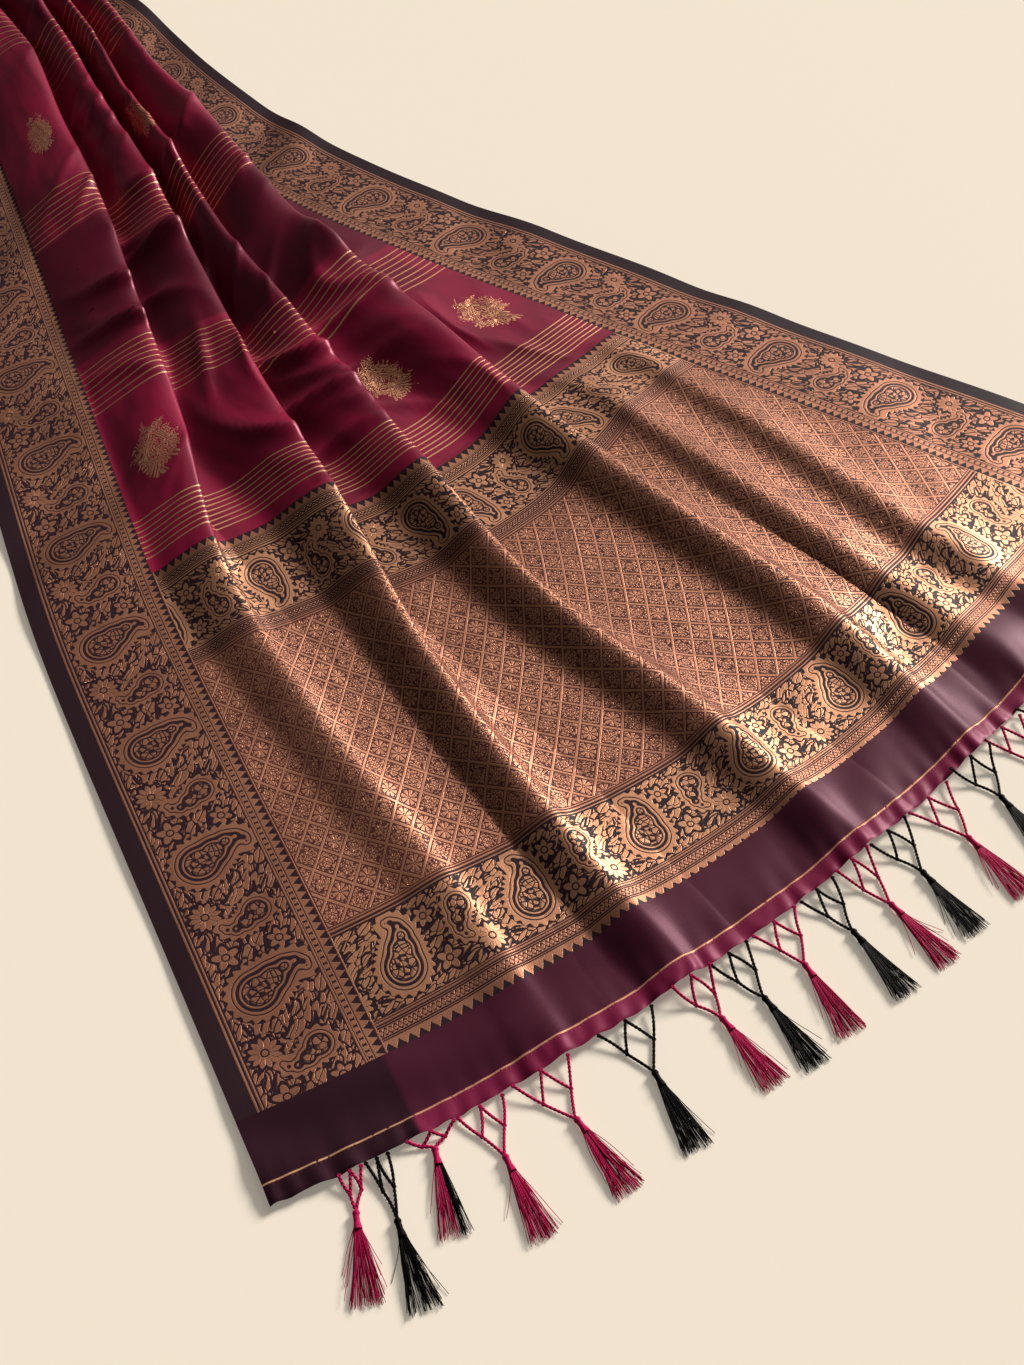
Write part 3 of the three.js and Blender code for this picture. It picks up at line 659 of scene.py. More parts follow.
def scroll_group():
    """The woven scroll as a node group: paisleys, flowers, vines and leaves, on a band 82 mm wide.

    Its inputs are millimetres across and along, and it gives 1 on the metal yarn and 0 on the ground."""
    tree = bpy.data.node_groups.new("scroll", "ShaderNodeTree")
    for name, way in (("Across", "INPUT"), ("Along", "INPUT"), ("Yarn", "OUTPUT")):
        tree.interface.new_socket(name, in_out=way, socket_type="NodeSocketFloat")
    entry = tree.nodes.new("NodeGroupInput")
    end = tree.nodes.new("NodeGroupOutput")
    y = Field(tree, entry.outputs["Across"])
    along = Field(tree, entry.outputs["Along"])
    x = along.wrap(0.0, SCROLL_LENGTH)

    # Each drop has a fringe, which is a ring whose outer edge is cut into teeth by the angle round its heart.
    drops = []
    fringes = []
    for circles, blend, heart, count, depth, inner, outer in (
        (LARGE_DROP, 7, (38, 42), 26, 1.6, 1.6, 7.2),
        (SMALL_DROP, 4, (101, 46), 17, 1.3, 1.3, 5.2),
    ):
        shape = drop(x, y, circles, blend)
        teeth = (polar(x, y, *heart)[1] * count).sine() * depth
        clear = shape.step(inner, inner + 0.6)
        fringes.append(clear.least((shape + teeth).step(outer, outer - 0.6)))
        drops.append((shape, clear))
    (large, large_clear), (small, small_clear) = drops
    yarn = greatest(fringes).least(large_clear).least(small_clear)

    # Inside a drop: an outline, a second one, and leaves round a heart.
    inside = cells(x, y, "DISTANCE_TO_EDGE", 0.19, 0.75).step(0.05, 0.13)
    yarn = greatest([yarn, large.line(-0.4, 2.2), small.line(-0.4, 1.8), large.line(-5.2, 1.5)])
    yarn = yarn.most(inside.least(large.step(-7.2, -7.8))).most(inside.least(small.step(-3.2, -3.8)))

    # Flowers: petals with a dark line between them, a ring and an eye.
    clear = large.least(small + 2.4)
    for cx, cy, count, radius, depth in SCROLL_FLOWERS:
        outline, reach, angle = petals(x, y, cx, cy, count, radius, depth)
        split = (angle * (count / 2)).cosine()
        petal = outline.step(0.3, -0.3).least(abs(split).step(0.10, 0.24)).least(reach.step(3.4, 4.2))
        yarn = yarn.most(petal).most(reach.step(2.6, 2.0))
        clear = clear.least(outline + 5.4)

    # Vines wander between the motifs and leaves fill the ground, both a little off each motif.
    turn = math.tau / SCROLL_LENGTH
    wave = (along * turn + 0.7).sine()
    vine = (y - 41 - wave * 24).line(0, 1.7)
    vine = vine.most((y - 41 + wave * 31 - (along * (3 * turn)).sine() * 4).line(0, 1.5))
    yarn = yarn.most(vine.least(clear.step(8.0, 8.6)))
    bend = noise(x, y, 0.06, 1.0)
    leaning = (x * 0.62 + y * 0.45 + bend * 16, y * 1.9 - x * 0.85 + bend * 14)
    leaf = cells(*leaning, "DISTANCE_TO_EDGE", 0.118, 0.8).step(0.075, 0.125)
    leaf = leaf.least(cells(*leaning, "F1", 0.118, 0.8).step(0.05, 0.11))
    yarn = yarn.most(leaf.least(clear.step(8.6, 9.4)))
    tree.links.new(yarn.socket, end.inputs["Yarn"])
    return tree


def scroll(across, along):
    """The woven scroll at a place across and along a band, in millimetres."""
    node = across.tree.nodes.new("ShaderNodeGroup")
    node.node_tree = bpy.data.node_groups.get("scroll") or scroll_group()
    across.tree.links.new(across.socket, node.inputs["Across"])
    across.tree.links.new(along.socket, node.inputs["Along"])
    return Field(across.tree, node.outputs["Yarn"])


def new_material(name, u_scale=1000):
    """A material, its Principled shader, and its map as two fields, in millimetres unless u_scale differs."""
    material = bpy.data.materials.new(name)
    material.use_nodes = True
    tree = material.node_tree
    source = tree.nodes.new("ShaderNodeUVMap")
    source.uv_map = "cloth"
    split = tree.nodes.new("ShaderNodeSeparateXYZ")
    tree.links.new(source.outputs["UV"], split.inputs[0])
    u = Field(tree, split.outputs["X"]) * u_scale
    v = Field(tree, split.outputs["Y"]) * 1000
    return material, tree.nodes["Principled BSDF"], u, v


def times(share, colour):
    """A colour made darker or brighter."""
    return tuple(min(1, share * part) for part in colour)


def blend_colours(share, low, high):
    """A colour between two, each a colour or the output of another blend."""
    tree = share.tree
    node = tree.nodes.new("ShaderNodeMix")
    node.data_type = "RGBA"
    tree.links.new(share.socket, node.inputs["Factor"])
    for label, value in (("A", low), ("B", high)):
        socket = next(s for s in node.inputs if s.name == label and s.type == "RGBA")
        if isinstance(value, bpy.types.NodeSocket):
            tree.links.new(value, socket)
        else:
            socket.default_value = (*value, 1)
    return next(s for s in node.outputs if s.type == "RGBA")


def weave(u, v, pitch):
    """Rounded threads under and over: the product of a wave each way, with a thread to each pitch."""
    turn = math.pi / pitch
    return (u * turn).sine() * (v * turn).sine() * 0.5 + 0.5


def finish(shader, base, metallic, rough, relief, depth, strength, gloss, tint=(1, 1, 1)):
    """Colour, metal, roughness, relief in metres, and silk's gloss, tinted where the cloth has one colour."""
    tree = relief.tree
    tree.links.new(base, shader.inputs["Base Color"])
    for label, value in (("Metallic", metallic), ("Roughness", rough)):
        if isinstance(value, Field):
            tree.links.new(value.socket, shader.inputs[label])
        else:
            shader.inputs[label].default_value = value
    bump = tree.nodes.new("ShaderNodeBump")
    bump.inputs["Distance"].default_value = depth
    bump.inputs["Strength"].default_value = strength
    tree.links.new(relief.socket, bump.inputs["Height"])
    tree.links.new(bump.outputs["Normal"], shader.inputs["Normal"])
    shader.inputs["Specular IOR Level"].default_value = gloss
    shader.inputs["Specular Tint"].default_value = (*tint, 1)


def stripes(v):
    """Groups of eight fine lines across the body, by the length along it."""
    groups = []
    for low, high in STRIPE_GROUPS:
        pitch = (high - low) / 7
        across = (v - (low - pitch / 2)).wrap(0.0, pitch) - pitch / 2
        groups.append(abs(across).step(1.0, 0.55).least(v.between(low - 2, high + 2)))
    return greatest(groups)


def brocade(shader, u, v, yarn, dim, metal, ground, tone):
    """Metal yarn floated on a silk ground: its colour, gloss and relief all follow the yarn field.

    The metal lies between dim and full, by tone, a field, and by slow noise that ages it."""
    grain = noise(u, v, 0.9, 1.0)
    share = (tone * 0.55 + noise(u, v, 0.021, 3.0) * 0.35 + grain * 0.45).step(0.2, 0.85)
    base = blend_colours(yarn, ground, blend_colours(share, dim, metal))
    rough = 0.42 - yarn * 0.1 + grain * 0.08
    relief = yarn * 0.5 + weave(u, v, 0.9) * 0.4 + grain * 0.35
    finish(shader, base, yarn * METALLIC, rough, relief, 0.0003, 0.6, 0.15)


def border_material(colours):
    """A border from its outer edge: plain selvedge, double line, scroll, line, beads between lines, teeth."""
    material, shader, u, v = new_material("border zari")
    yarn = scroll(u - 22, v).least(u.between(23.5, 102.5))
    bead = (u - 108.4) * (u - 108.4) + v.wrap(-3.0, 3.0) * v.wrap(-3.0, 3.0)
    teeth = 120 - u - v.fold(4.0) * 1.75
    yarn = greatest([
        yarn,
        *(u.line(at, width) for at, width in BORDER_LINES),
        bead.step(5.4, 3.6),
        teeth.step(-0.4, 0.4).least(u.step(112.4, 112.8)),
    ])
    dim, metal = times(0.45, colours.copper), times(0.88, colours.copper)
    brocade(shader, u, v, yarn, dim, metal, colours.plum, noise(u, v, 0.05, 2.0))
    return material


def pallu_material(colours):
    """The end piece, from the hem: teeth, chain, paisley band, lattice, chain, paisley band, chain, teeth."""
    material, shader, u, v = new_material("pallu zari")

    # The lattice: tiles on their corners between bold lines, each with a flower of eight petals among specks.
    # A tile's own axes run from its middle, in millimetres of its mean side. One flower in five is large.
    a = (u + v) * (math.sqrt(0.5) / LATTICE[0])
    b = (u - v) * (math.sqrt(0.5) / LATTICE[1])
    da = (a.wrap(0.0, 1.0) - 0.5) * LATTICE_SIDE
    db = (b.wrap(0.0, 1.0) - 0.5) * LATTICE_SIDE
    bright = texture("WhiteNoise", a.floor(), b.floor(), "Value", noise_dimensions="2D")
    edge = LATTICE_SIDE / 2 - abs(da).most(abs(db))
    reach, angle = polar(da, db)
    size = bright.step(0.76, 0.8) * 3.6 + 4.4
    petal = (angle * 8).cosine().step(-0.75, -0.35).least((reach - size).step(0.3, -0.3))
    petal = petal.least(reach.step(1.5, 2.0)).most(reach.step(1.1, 0.7))
    specks = cells(u, v, "F1", 0.5, 0.65).step(0.6, 0.46)
    tile = petal.most(specks.least((reach - size).step(0.5, 1.1))).least(edge.step(2.1, 2.5))
    lattice = edge.step(1.35, 1.0).most(tile)
    yarn = lattice.least(v.between(193, 499)).least(u.between(123.5, 1076.5))

    # Two scroll bands, and chains of dark curls between lines beside them.
    yarn = yarn.most(scroll(v - 100.5, u).least(v.between(101.5, 182)))
    yarn = yarn.most(scroll(601 - v, u + 60).least(v.between(521.5, 599)))
    yarn = greatest([yarn, *(v.line(at, width) for at, width in PALLU_LINES)])
    for at, half in PALLU_CHAINS:
        offset = v - at
        curl = (u * (math.tau / 9)).sine() * (half - 3.4)
        dark = abs(offset - curl).step(1.1, 0.7).most(abs(offset + curl).step(0.9, 0.5))
        dark = dark.most(abs(abs(offset) - (half - 1.5)).step(0.9, 0.55))
        yarn = yarn.most(abs(offset).step(half, half - 0.4).least(1 - dark))
    low_teeth = v - END_BAND_END - u.fold(5.0) * 1.5
    high_teeth = PALLU_END - v - u.fold(5.0) * 1.7
    yarn = yarn.most(low_teeth.step(-0.3, 0.5).least(v.step(81, 80)))
    yarn = yarn.most(high_teeth.step(-0.3, 0.5).least(v.step(617, 618)))

    # A dark line beside each border, with a bright one in it. Beyond the last teeth the cloth is plain silk.
    yarn = greatest([yarn.least(u.between(120.6, 1079.4)), u.line(121.6, 1.0), u.line(1078.4, 1.0)])
    silk = v.step(626.2, 626.8)
    yarn = yarn.least(1 - silk)
    ground = blend_colours(v.between(187, 505), colours.plum, colours.brown)
    ground = blend_colours(silk, ground, colours.silk)
    bands = v.between(101, 183).most(v.between(520, 616))
    metal = blend_colours(bands * 0.4, colours.copper, colours.gold)
    tone = bright * v.between(193, 499) * 0.7 + 0.35 + bands * 0.3
    brocade(shader, u, v, yarn, times(0.5, colours.copper), metal, ground, tone)
    return material


def body_material(colours):
    """Maroon silk with groups of eight fine gold lines across it and leafy sprigs between the groups."""
    material, shader, u, v = new_material("body silk")

    # Sprigs: the nearest centre across, in rows along. Each is a bouquet of feathered flowers, whose strokes
    # swirl out from their centres and end in points.
    leaning = u - (v - SPRIG_ROW) * SPRIG_LEAN
    aside = reduce(Field.least, [abs(leaning - centre) for centre in SPRIGS])
    ragged = noise(u, v, 0.055, 2.0)
    aside = aside + ragged * 26 - 13
    up = (v - SPRIG_ROW).wrap(-SPRIG_PITCH / 2, SPRIG_PITCH / 2) - ragged * 34 + 17
    shape = None
    for x, y, radius, count in SPRIG_FLOWERS:
        outline, reach, angle = petals(aside, up, x, y, count, radius, 3.0)
        swirl = (angle * count + reach * 0.3).cosine()
        mark = swirl.step(-0.7, -0.2).least(reach.step(1.6, 2.4)).most(reach.step(1.2, 0.7))
        if shape:
            pick = (shape - outline).step(-0.4, 0.4)
            strokes = strokes + (mark - strokes) * pick
            shape = shape.least(outline)
        else:
            shape, strokes = outline, mark
    veins = cells(aside, up, "DISTANCE_TO_EDGE", 0.16, 1.0)
    sprig = shape.step(0.5, -0.3).least(strokes).least(veins.step(0.02, 0.06))
    yarn = stripes(v).most(sprig)

    # The silk is painted lighter and darker in streaks along the pleats, as painted light and shade of the
    # folds, and it is darker between two of the groups of lines, partly its own tone and partly painted shade.
    fold_light_and_shade = noise(u * 0.022, v * 0.007, 1.0, 3.0)
    ground = blend_colours(fold_light_and_shade.step(0.36, 0.62), times(0.62, colours.silk), times(1.2, colours.silk))
    ground = blend_colours(v.between(945, 1150, 4) * 0.75, ground, colours.silk_dark_and_shade)
    base = blend_colours(yarn, ground, colours.gold)
    slub = noise(u * 0.12, v * 1.6, 1.0, 2.0)
    relief = weave(u, v, 0.7) * 0.25 + slub * 0.5 + yarn * 0.8
    finish(shader, base, yarn * METALLIC, 0.34 + yarn * 0.04, relief, 0.0004, 0.4, 0.42, (1.0, 0.22, 0.36))
    return material


def end_material(name, colours, main, edge_line=None):
    """The plain cloth at the end: plum in the borders' columns and shot with the main colour between them.

    edge_line is where a gold line runs along it, in millimetres from the hem's outer edge, if it has one."""
    material, shader, u, v = new_material(name)
    middle = (u + noise(u, v, 0.4, 1.0) * 1.2).between(118, 1082, 3)
    base = blend_colours(middle, colours.plum, main)
    slub = noise(u * 0.1, v * 1.5, 1.0, 2.0) * 0.6
    if edge_line is None:
        metallic = 0.0
        relief = slub + weave(u, v, 0.7) * 0.2
    else:
        line = v.line(edge_line, 1.5) * noise(u, v, 0.25, 1.0).step(0.3, 0.42)
        stitch = v.line(edge_line - 2.4, 0.8).least(u.fold(1.8).step(0.5, 0.9))
        base = blend_colours(line, base, colours.gold)
        metallic = line * 0.6
        relief = slub + line * 0.6 - stitch
    finish(shader, base, metallic, 0.42, relief, 0.0004, 0.4, 0.22, (1.0, 0.35, 0.55))
    return material


def yarn_material(name, tint):
    """Glossy twisted viscose yarn: fine streaks along the thread. Its map's u goes once round a thread."""
    material, shader, u, v = new_material(name, u_scale=1)
    streak = noise(u * 9, v * 0.12, 1.0, 2.0)
    base = blend_colours(streak.step(0.3, 0.7), times(0.6, tint), times(1.25, tint))
    twist = (u * (2 * math.tau) + v * 2.4).sine()
    gloss_tint = tuple(min(1, 2 * part + 0.1) for part in tint)
    finish(shader, base, 0.0, 0.5, twist * 0.5 + streak, 0.0002, 0.3, 0.12, gloss_tint)
    return material


def rows(low, high, step):
    """Even lengths along the cloth from one seam to the next."""
    return np.linspace(low, high, int(round((high - low) / step)) + 1)


PALLU_ROWS = rows(END_BAND_END, PALLU_END, 5)
BODY_ROWS = rows(PALLU_END, BODY_END, 6)
BODY_COLUMNS = 252
PALLU_COLUMNS = 310
BORDER_COLUMNS = 31
BAND_COLUMNS = 521
HEM_COLUMNS = 781


class SAREE_OT_stage(bpy.types.Operator):
    """Set the camera, a pale floor and soft studio light"""

    bl_idname = "saree.stage"
    bl_label = "Stage"

    def execute(self, context):
        colours = context.scene.saree_colours
        camera = bpy.data.objects.new("camera", bpy.data.cameras.new("camera"))
        context.collection.objects.link(camera)
        camera.location = CAMERA_PLACE + SHIFT
        camera.rotation_euler = (math.radians(90 - CAMERA_ELEVATION), 0, math.radians(CAMERA_AZIMUTH))
        camera.data.lens = LENS
        camera.data.sensor_width = SENSOR
        context.scene.camera = camera

        bpy.ops.mesh.primitive_plane_add(size=FLOOR_SIZE)
        floor = context.active_object
        floor.name = "floor"
        material = bpy.data.materials.new("floor")
        material.use_nodes = True
        shader = material.node_tree.nodes["Principled BSDF"]
        pale = (*colours.floor, 1)
        for label, value in (
            ("Base Color", pale), ("Roughness", 0.9), ("Specular IOR Level", 0.1),
            ("Emission Color", pale), ("Emission Strength", FLOOR_GLOW),
        ):
            shader.inputs[label].default_value = value
        floor.data.materials.append(material)

        for name, place, spread, strength, tint in SUNS:
            data = bpy.data.lights.new(name, "SUN")
            data.angle = math.radians(spread)
            data.energy = strength
            data.color = tint
            lamp = bpy.data.objects.new(name, data)
            x, y, z = place
            lamp.location = place
            lamp.rotation_euler = (math.atan2(math.hypot(x, y), z), 0, math.atan2(y, x) + math.pi / 2)
            context.collection.objects.link(lamp)
        sky = bpy.data.worlds.new("studio")
        sky.use_nodes = True
        background = sky.node_tree.nodes["Background"].inputs
        background["Color"].default_value = SKY
        background["Strength"].default_value = SKY_STRENGTH
        context.scene.world = sky
        context.scene.view_settings.view_transform = "Standard"
        return {"FINISHED"}


class SAREE_OT_body(bpy.types.Operator):
    """Lay the gathered silk body"""

    bl_idname = "saree.body"
    bl_label = "Body"

    def execute(self, context):
        points, uv = sheet(BODY_ROWS, BODY_COLUMNS, "middle")
        materials = [body_material(context.scene.saree_colours)]
        piece = new_sheet("body_cloth", points, uv, materials, ["body"])
        return {"FINISHED"}


class SAREE_OT_pallu(bpy.types.Operator):
    """Lay the zari end piece"""

    bl_idname = "saree.pallu"
    bl_label = "End piece"

    def execute(self, context):
        points, uv = sheet(PALLU_ROWS, PALLU_COLUMNS, "middle")
        materials = [pallu_material(context.scene.saree_colours), bpy.data.materials["body silk"]]
        piece = new_sheet("pallu_cloth", points, uv, materials, ["pallu"])
        # The pattern runs ahead of the seam in the middle, so the body's plain silk starts on this piece.
        beyond = uv[grid_faces(*points.shape[:2]), 1].min(1) > (PALLU_END + 3) * MM
        piece.data.polygons.foreach_set("material_index", beyond.astype(np.int32))
        return {"FINISHED"}


class SAREE_OT_borders(bpy.types.Operator):
    """Lay the two woven borders"""

    bl_idname = "saree.borders"
    bl_label = "Borders"

    def execute(self, context):
        along = np.concatenate([PALLU_ROWS[:-1], BODY_ROWS])
        materials = [border_material(context.scene.saree_colours)]
        for side in ("left", "right"):
            name = "border_" + side
            points, uv = sheet(along, BORDER_COLUMNS, side)
            piece = new_sheet(name + "_cloth", points, uv, materials, [name])
        return {"FINISHED"}


class SAREE_OT_end_band(bpy.types.Operator):
    """Lay the plain band before the hem"""

    bl_idname = "saree.end_band"
    bl_label = "End band"

    def execute(self, context):
        points, uv = sheet(rows(HEM_END, END_BAND_END, 3), BAND_COLUMNS, "whole")
        colours = context.scene.saree_colours
        materials = [end_material("shot silk", colours, colours.shot)]
        piece = new_sheet("end_band_cloth", points, uv, materials, ["end_band"])
        return {"FINISHED"}


class SAREE_OT_hem(bpy.types.Operator):
    """Roll the hem, with its puckers and gold line"""

    bl_idname = "saree.hem"
    bl_label = "Hem"

    def execute(self, context):
        along = rows(0, HEM_END, 1.5)
        points, uv = sheet(along, HEM_COLUMNS, "whole")
        # The roll: a low half ellipse over the hem's depth, full and slack in turn between the puckers.
        across = uv[:, 0].reshape(len(along), -1) / MM
        share = (along / HEM_END)[:, None]
        roll = np.sqrt(limited(1 - (2 * share - 1) ** 2))
        fill = 1 + 0.4 * np.sin(across / 2.9 + 2 * np.sin(across / 19)) + 0.25 * np.sin(across / 7.3)
        points[:, :, 2] += 0.9 * roll * fill
        # The stitches draw the outer edge in and out a little.
        drawn = np.sin(across / 5.1 + 1.7 * np.sin(across / 23)) + 0.6 * np.sin(across / 12.7)
        points[:, :, 1] += 0.55 * (1 - share) * (drawn + 1.6)
        colours = context.scene.saree_colours
        materials = [end_material("hem silk", colours, colours.hem, HEM_END - 1.4)]
        piece = new_sheet("hem_cloth", points, uv, materials, ["hem"])
        return {"FINISHED"}


def stack_rings():
    """The folded length as closed rings from the underside up, with x from its middle and y from its front.

    A ring is a rectangle with round corners, drawn in by an inset. Each layer bulges in six rings, then the
    top is drawn in to its middle with soft folds that run on from the pleats."""
    turn = np.linspace(0, 1, STACK_POINTS, endpoint=False)

    def ring(inset, z):
        hx = STACK_WIDTH / 2 - inset
        hy = STACK_DEPTH / 2 - inset
        r = max(STACK_CORNER - inset, 2.0)
        lengths = np.array([2 * (hy - r), math.pi * r / 2, 2 * (hx - r), math.pi * r / 2] * 2)
        ends = np.concatenate([[0], np.cumsum(lengths)])
        walk = turn * ends[-1]
        part = np.clip(np.searchsorted(ends, walk, side="right") - 1, 0, 7)
        into = (walk - ends[part]) / lengths[part]
        quarter = part // 2
        heading = quarter * math.pi / 2
        signs = np.array([[1, 1], [-1, 1], [-1, -1], [1, -1]])[quarter]
        centre = signs * np.array([hx - r, hy - r])
        angle = heading + np.where(part % 2 == 1, into, 0) * math.pi / 2
        arc = centre + r * np.stack([np.cos(angle), np.sin(angle)], 1)
        run = np.where(part % 2 == 0, (into - 1) * lengths[part], 0)
        along = np.stack([-np.sin(heading), np.cos(heading)], 1)
        points = arc + run[:, None] * along
        return np.column_stack([points[:, 0], points[:, 1] + STACK_DEPTH / 2, z + 0 * turn])

    made = [ring(3.2, 0.0)]
    for k in range(STACK_LAYERS):
        low = k * STACK_LAYER
        shift = 0.9 * (1 + math.sin(k * 2.3))
        made += [ring(inset + shift, low + STACK_LAYER * part) for part, inset in STACK_BULGE]
    top = STACK_LAYERS * STACK_LAYER
    for inset in STACK_TOP:
        made.append(ring(inset, top + STACK_CROWN * (1 - (1 - min(1, inset / STACK_ROUND)) ** 2)))
    rings = np.stack(made)
    x, y, z = rings[..., 0], rings[..., 1], rings[..., 2]
    wave = np.sin(x / 21 + 1.2 * np.sin(y / 90)) + 0.5 * np.sin(x / 9 + y / 70)
    rings[..., 2] = z - 0.45 * (1.5 - wave) * (z > top - 1) + 0.25 * np.sin(x / 17 + y / 23) * (z > 2)
    return rings


class SAREE_OT_folded_length(bpy.types.Operator):
    """Stack the folded rest of the cloth"""

    bl_idname = "saree.folded_length"
    bl_label = "Folded length"

    def execute(self, context):
        rings = stack_rings()
        levels, count = rings.shape[:2]
        # The front lies along the chord of the body's last section, a seam behind it.
        left, right = (edge_at(edge, np.array([BODY_END + SEAM]))[0] for edge in (LEFT_EDGE, RIGHT_EDGE))
        way = (right - left) / np.linalg.norm(right - left)
        local = rings.reshape(-1, 3)
        plan = (left + right) / 2 + local[:, :1] * way + local[:, 1:2] * np.array([-way[1], way[0]])
        points = np.column_stack([plan, local[:, 2]])
        inwards = np.clip(local[:, 0] + STACK_WIDTH / 2, 0, None)
        drop_by = np.clip(STACK_LAYERS * STACK_LAYER - local[:, 2], 0, None)
        uv = np.column_stack([inwards, local[:, 1] + STACK_PATTERN + drop_by]) * MM
        faces = grid_faces(levels, count, closed=True)
        # The top and the underside are closed with strips between points that face each other on a ring.
        half = count // 2
        k = np.arange(half - 1)
        last = (levels - 1) * count
        lid = np.stack([last + k, last + k + 1, last + count - 2 - k, last + count - 1 - k], 1)
        sole = np.stack([k, count - 1 - k, count - 2 - k, k + 1], 1)
        faces = np.concatenate([faces, lid, sole])
        materials = [bpy.data.materials["body silk"], bpy.data.materials["border zari"]]
        piece = new_piece("folded_cloth", points, faces, uv, materials, ["folded_length"])
        centre = local[faces].mean(1)
        edge = (centre[:, 0] < -STACK_WIDTH / 2 + BORDER_WIDTH).astype(np.int32)
        piece.data.polygons.foreach_set("material_index", edge)
        return {"FINISHED"}


def tube(points, radius, sides):
    """Tubes along paths, as points and faces of four: paths by steps by 3, with a radius for each step.

    A ring lies across the path's way, and its first side is level."""
    way = np.gradient(points, axis=1)
    way /= np.linalg.norm(way, axis=2, keepdims=True)
    side = np.cross(way, [0, 0, 1.0])
    side /= np.linalg.norm(side, axis=2, keepdims=True) + 1e-9
    up = np.cross(side, way)
    angle = np.arange(sides) * math.tau / sides
    radius = np.broadcast_to(radius, points.shape[:2])[..., None, None]
    ring = side[:, :, None] * np.cos(angle)[:, None] + up[:, :, None] * np.sin(angle)[:, None]
    surface = points[:, :, None] + radius * ring
    paths, steps = points.shape[:2]
    one = grid_faces(steps, sides, closed=True)[:, ::-1]
    faces = (one[None] + (np.arange(paths) * steps * sides)[:, None, None]).reshape(-1, 4)
    # Round a tube the map goes from 0 to 1, from a start of its own, and along it in metres.
    u = np.arange(sides) / sides + 0.37 * np.arange(paths)[:, None, None]
    run = np.linalg.norm(np.diff(points, axis=1, prepend=points[:, :1]), axis=2).cumsum(1)
    uv = np.stack(np.broadcast_arrays(u, run[..., None] * MM), 3)
    return surface.reshape(-1, 3), faces, uv.reshape(-1, 2)


def twisted(a, b, ply, sag):
    """A cord of two plies from a to b: each ply winds round the cord's path, half a turn from the other."""
    t = np.linspace(0, 1, 15)
    path = a + (b - a) * t[:, None]
    path[:, :2] += sag * np.sin(math.pi * t)[:, None]
    long = np.linalg.norm(b - a)
    way = (b - a) / long
    side = np.cross(way, [0, 0, 1.0])
    side /= np.linalg.norm(side)
    angle = math.tau * long / PLY_TURN * t[:, None]
    wind = 0.62 * ply * (np.cos(angle) * side + np.sin(angle) * np.cross(side, way))
    return np.stack([path + wind, path - wind])


def knot_points(centre, radius):
    """A wound knot: a tube that goes twice round a short spindle."""
    t = np.linspace(0, 1, 15)
    angle = 2 * math.tau * t
    spindle = [0.75 * np.cos(angle), 0.75 * np.sin(angle), 0.9 * (t - 0.5)]
    return centre + radius * np.stack(spindle, 1)[None]


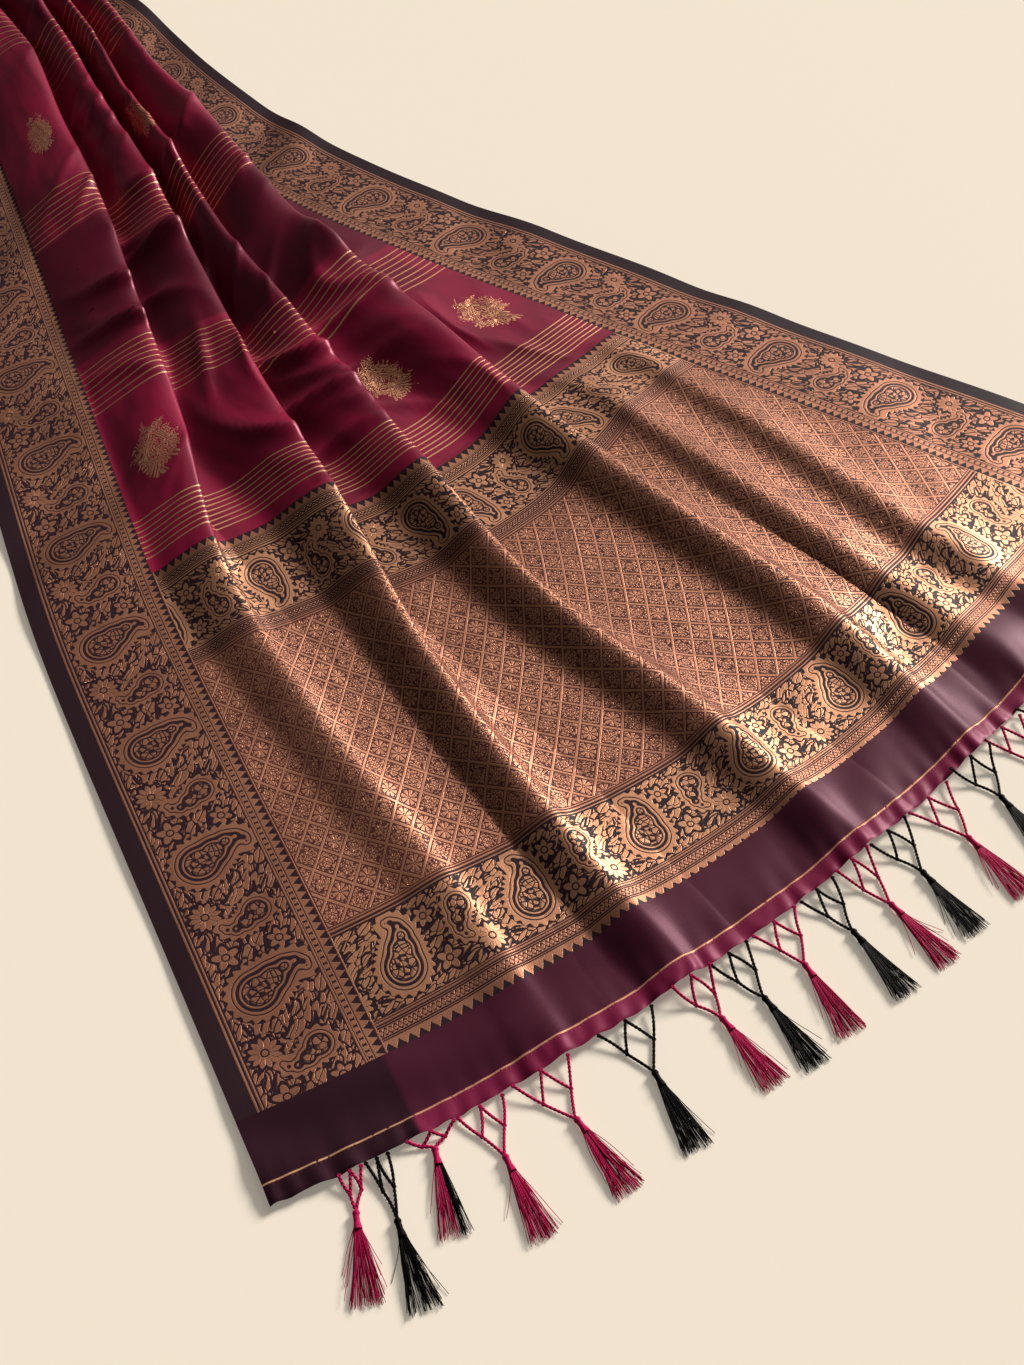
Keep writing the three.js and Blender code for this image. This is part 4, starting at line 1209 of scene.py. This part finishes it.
def tassel_parts(number, sizes):
    """Points, faces and map of one tassel with its net, in millimetres.

    Cords lead in pairs from roots along the hem to knots and on to the head, which is a wound spindle, and
    threads run from it to an even fan of tips that droop to the floor."""
    across, fall, lean = TASSELS[number]
    rng = np.random.default_rng(400 + number)
    cloth = Cloth(np.array([0.0, 1.0]))
    place = np.full((2, 1), cloth.place(np.array([across, across]))[0])
    spots = cloth.points(place)[0][:, 0]
    root = spots[0]
    square = math.atan2(*(root - spots[1])[[1, 0]])
    gaps = np.abs(np.delete(TASSELS[:, 0], number) - across)
    half = min(NET_HALF_WIDTH, gaps.min() / 2 - NET_GAP)
    turned = square + math.radians(lean)
    ply = sizes.ply / MM
    thread = sizes.thread / MM
    beside = np.array([-math.sin(square), math.cos(square)])

    def at(out, aside, height):
        share = limited(out / fall)
        line = square * (1 - share) + turned * share
        plan = root[:2] + out * np.array([math.cos(line), math.sin(line)]) + aside * beside
        return np.array([*plan, height])

    def hang(out):
        share = limited(out / (0.4 * fall))
        return max(root[2], NET_HEIGHT) * (1 - share) + NET_HEIGHT * share

    levels = [(NET_ROOT, (-1, 0, 1)), (NET_KNOTS * fall, (-0.5, 0.5)), (fall - 3, (0,))]
    spots = [[at(out, s * half, hang(out)) for s in shares] for out, shares in levels]
    parts = []
    for low, high in zip(spots[:-1], spots[1:]):
        for i, b in enumerate(high):
            for a in (low[i], low[i + 1]):
                bow = beside * rng.uniform(-NET_BOW, NET_BOW)
                parts.append(tube(twisted(a, b, ply, bow), ply, CORD_SIDES))
    for spot in spots[0] + spots[1]:
        parts.append(tube(knot_points(spot, KNOT_RADIUS), KNOT_CORD, CORD_SIDES))

    # The head: a spindle wound with a few raised turns.
    t = np.linspace(0, 1, 22)
    shape = np.interp(t, *HEAD_PROFILE) + 0.14 * np.sin(t * 60)
    head = np.array([at(fall - 4 + (HEAD_LENGTH + 4) * s, 0, HEAD_HEIGHT) for s in t])
    parts.append(tube(head[None], shape[None], HEAD_SIDES))

    # Threads fan out from the head. A few stray from the brush.
    count = sizes.threads
    ray = np.array([math.cos(turned), math.sin(turned)])
    cross = np.array([-ray[1], ray[0]])
    fan = rng.uniform(-1, 1, count)
    layer = rng.uniform(0, 1, count)
    stray = rng.random(count) < STRAYS
    reach = np.where(stray, rng.uniform(30, 54, count), STRAND_LENGTH * rng.uniform(0.9, 1.04, count))
    tip = STRAND_FAN * fan * np.where(stray, 1.4, 1)
    bend = rng.normal(0, 0.7, count)
    steps = np.linspace(0, 1, 6)
    origin = at(fall + HEAD_LENGTH * 0.7, 0, 0)[:2]
    out = reach[:, None] * steps
    spread = fan[:, None] * 2.3 * (1 - steps) + tip[:, None] * steps**1.15
    spread = spread + bend[:, None] * np.sin(math.pi * steps * 1.3)
    top = (HEAD_HEIGHT + 2.2 * (layer - 0.5))[:, None]
    high = top * (1 - steps) ** 0.8 + (0.5 + 3.2 * layer**1.5)[:, None] * steps
    plan = origin + out[..., None] * ray + spread[..., None] * cross
    paths = np.concatenate([plan, np.maximum(high, STRAND_FLOOR)[..., None]], 2)
    taper = thread * np.linspace(1, 0.75, 6)
    parts.append(tube(paths, taper[None], 3))
    return parts


class SAREE_OT_tassels(bpy.types.Operator):
    """Knot the nets and hang the tassels"""

    bl_idname = "saree.tassels"
    bl_label = "Tassels"

    def execute(self, context):
        colours = context.scene.saree_colours
        sizes = context.scene.saree_sizes
        looks = {
            "magenta": yarn_material("magenta yarn", colours.magenta),
            "black": yarn_material("black yarn", colours.black),
        }
        for number, black in enumerate(BLACK):
            parts = tassel_parts(number, sizes)
            points, faces, uv = zip(*parts)
            starts = np.cumsum([0] + [len(each) for each in points])
            faces = np.concatenate([each + start for each, start in zip(faces, starts)])
            points, uv = np.concatenate(points), np.concatenate(uv)
            shade = "black" if black else "magenta"
            node = f"tassel_{number + 1:02d}"
            both = [looks[shade], looks["black"]]
            piece = new_piece(node + "_yarn", points, faces, uv, both, [node])
            if number == MIXED:
                brush = np.arange(len(faces)) >= len(faces) - len(parts[-1][1])
                aside = points[faces].mean(1) @ [1, -0.45, 0]
                dark = brush & (aside > np.median(aside))
                piece.data.polygons.foreach_set("material_index", dark.astype(np.int32))
        return {"FINISHED"}


class SAREE_PT_panel(bpy.types.Panel):
    """The saree's pieces, sizes and colours"""

    bl_label = "Saree"
    bl_space_type = "VIEW_3D"
    bl_region_type = "UI"
    bl_category = "Saree"

    def draw(self, context):
        for operator in OPERATORS:
            self.layout.operator(operator.bl_idname)
        for group in (context.scene.saree_sizes, context.scene.saree_colours):
            for name in group.__annotations__:
                self.layout.prop(group, name)


OPERATORS = (
    SAREE_OT_stage,
    SAREE_OT_body,
    SAREE_OT_pallu,
    SAREE_OT_borders,
    SAREE_OT_end_band,
    SAREE_OT_hem,
    SAREE_OT_folded_length,
    SAREE_OT_tassels,
)
CLASSES = (SareeColours, SareeSizes, *OPERATORS, SAREE_PT_panel)


def register():
    for each in CLASSES:
        bpy.utils.register_class(each)
    bpy.types.Scene.saree_colours = bpy.props.PointerProperty(type=SareeColours)
    bpy.types.Scene.saree_sizes = bpy.props.PointerProperty(type=SareeSizes)


def unregister():
    del bpy.types.Scene.saree_sizes
    del bpy.types.Scene.saree_colours
    for each in reversed(CLASSES):
        bpy.utils.unregister_class(each)


def main():
    register()
    for operator in OPERATORS:
        group, name = operator.bl_idname.split(".")
        getattr(getattr(bpy.ops, group), name)()
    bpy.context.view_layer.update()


if __name__ == "__main__":
    main()
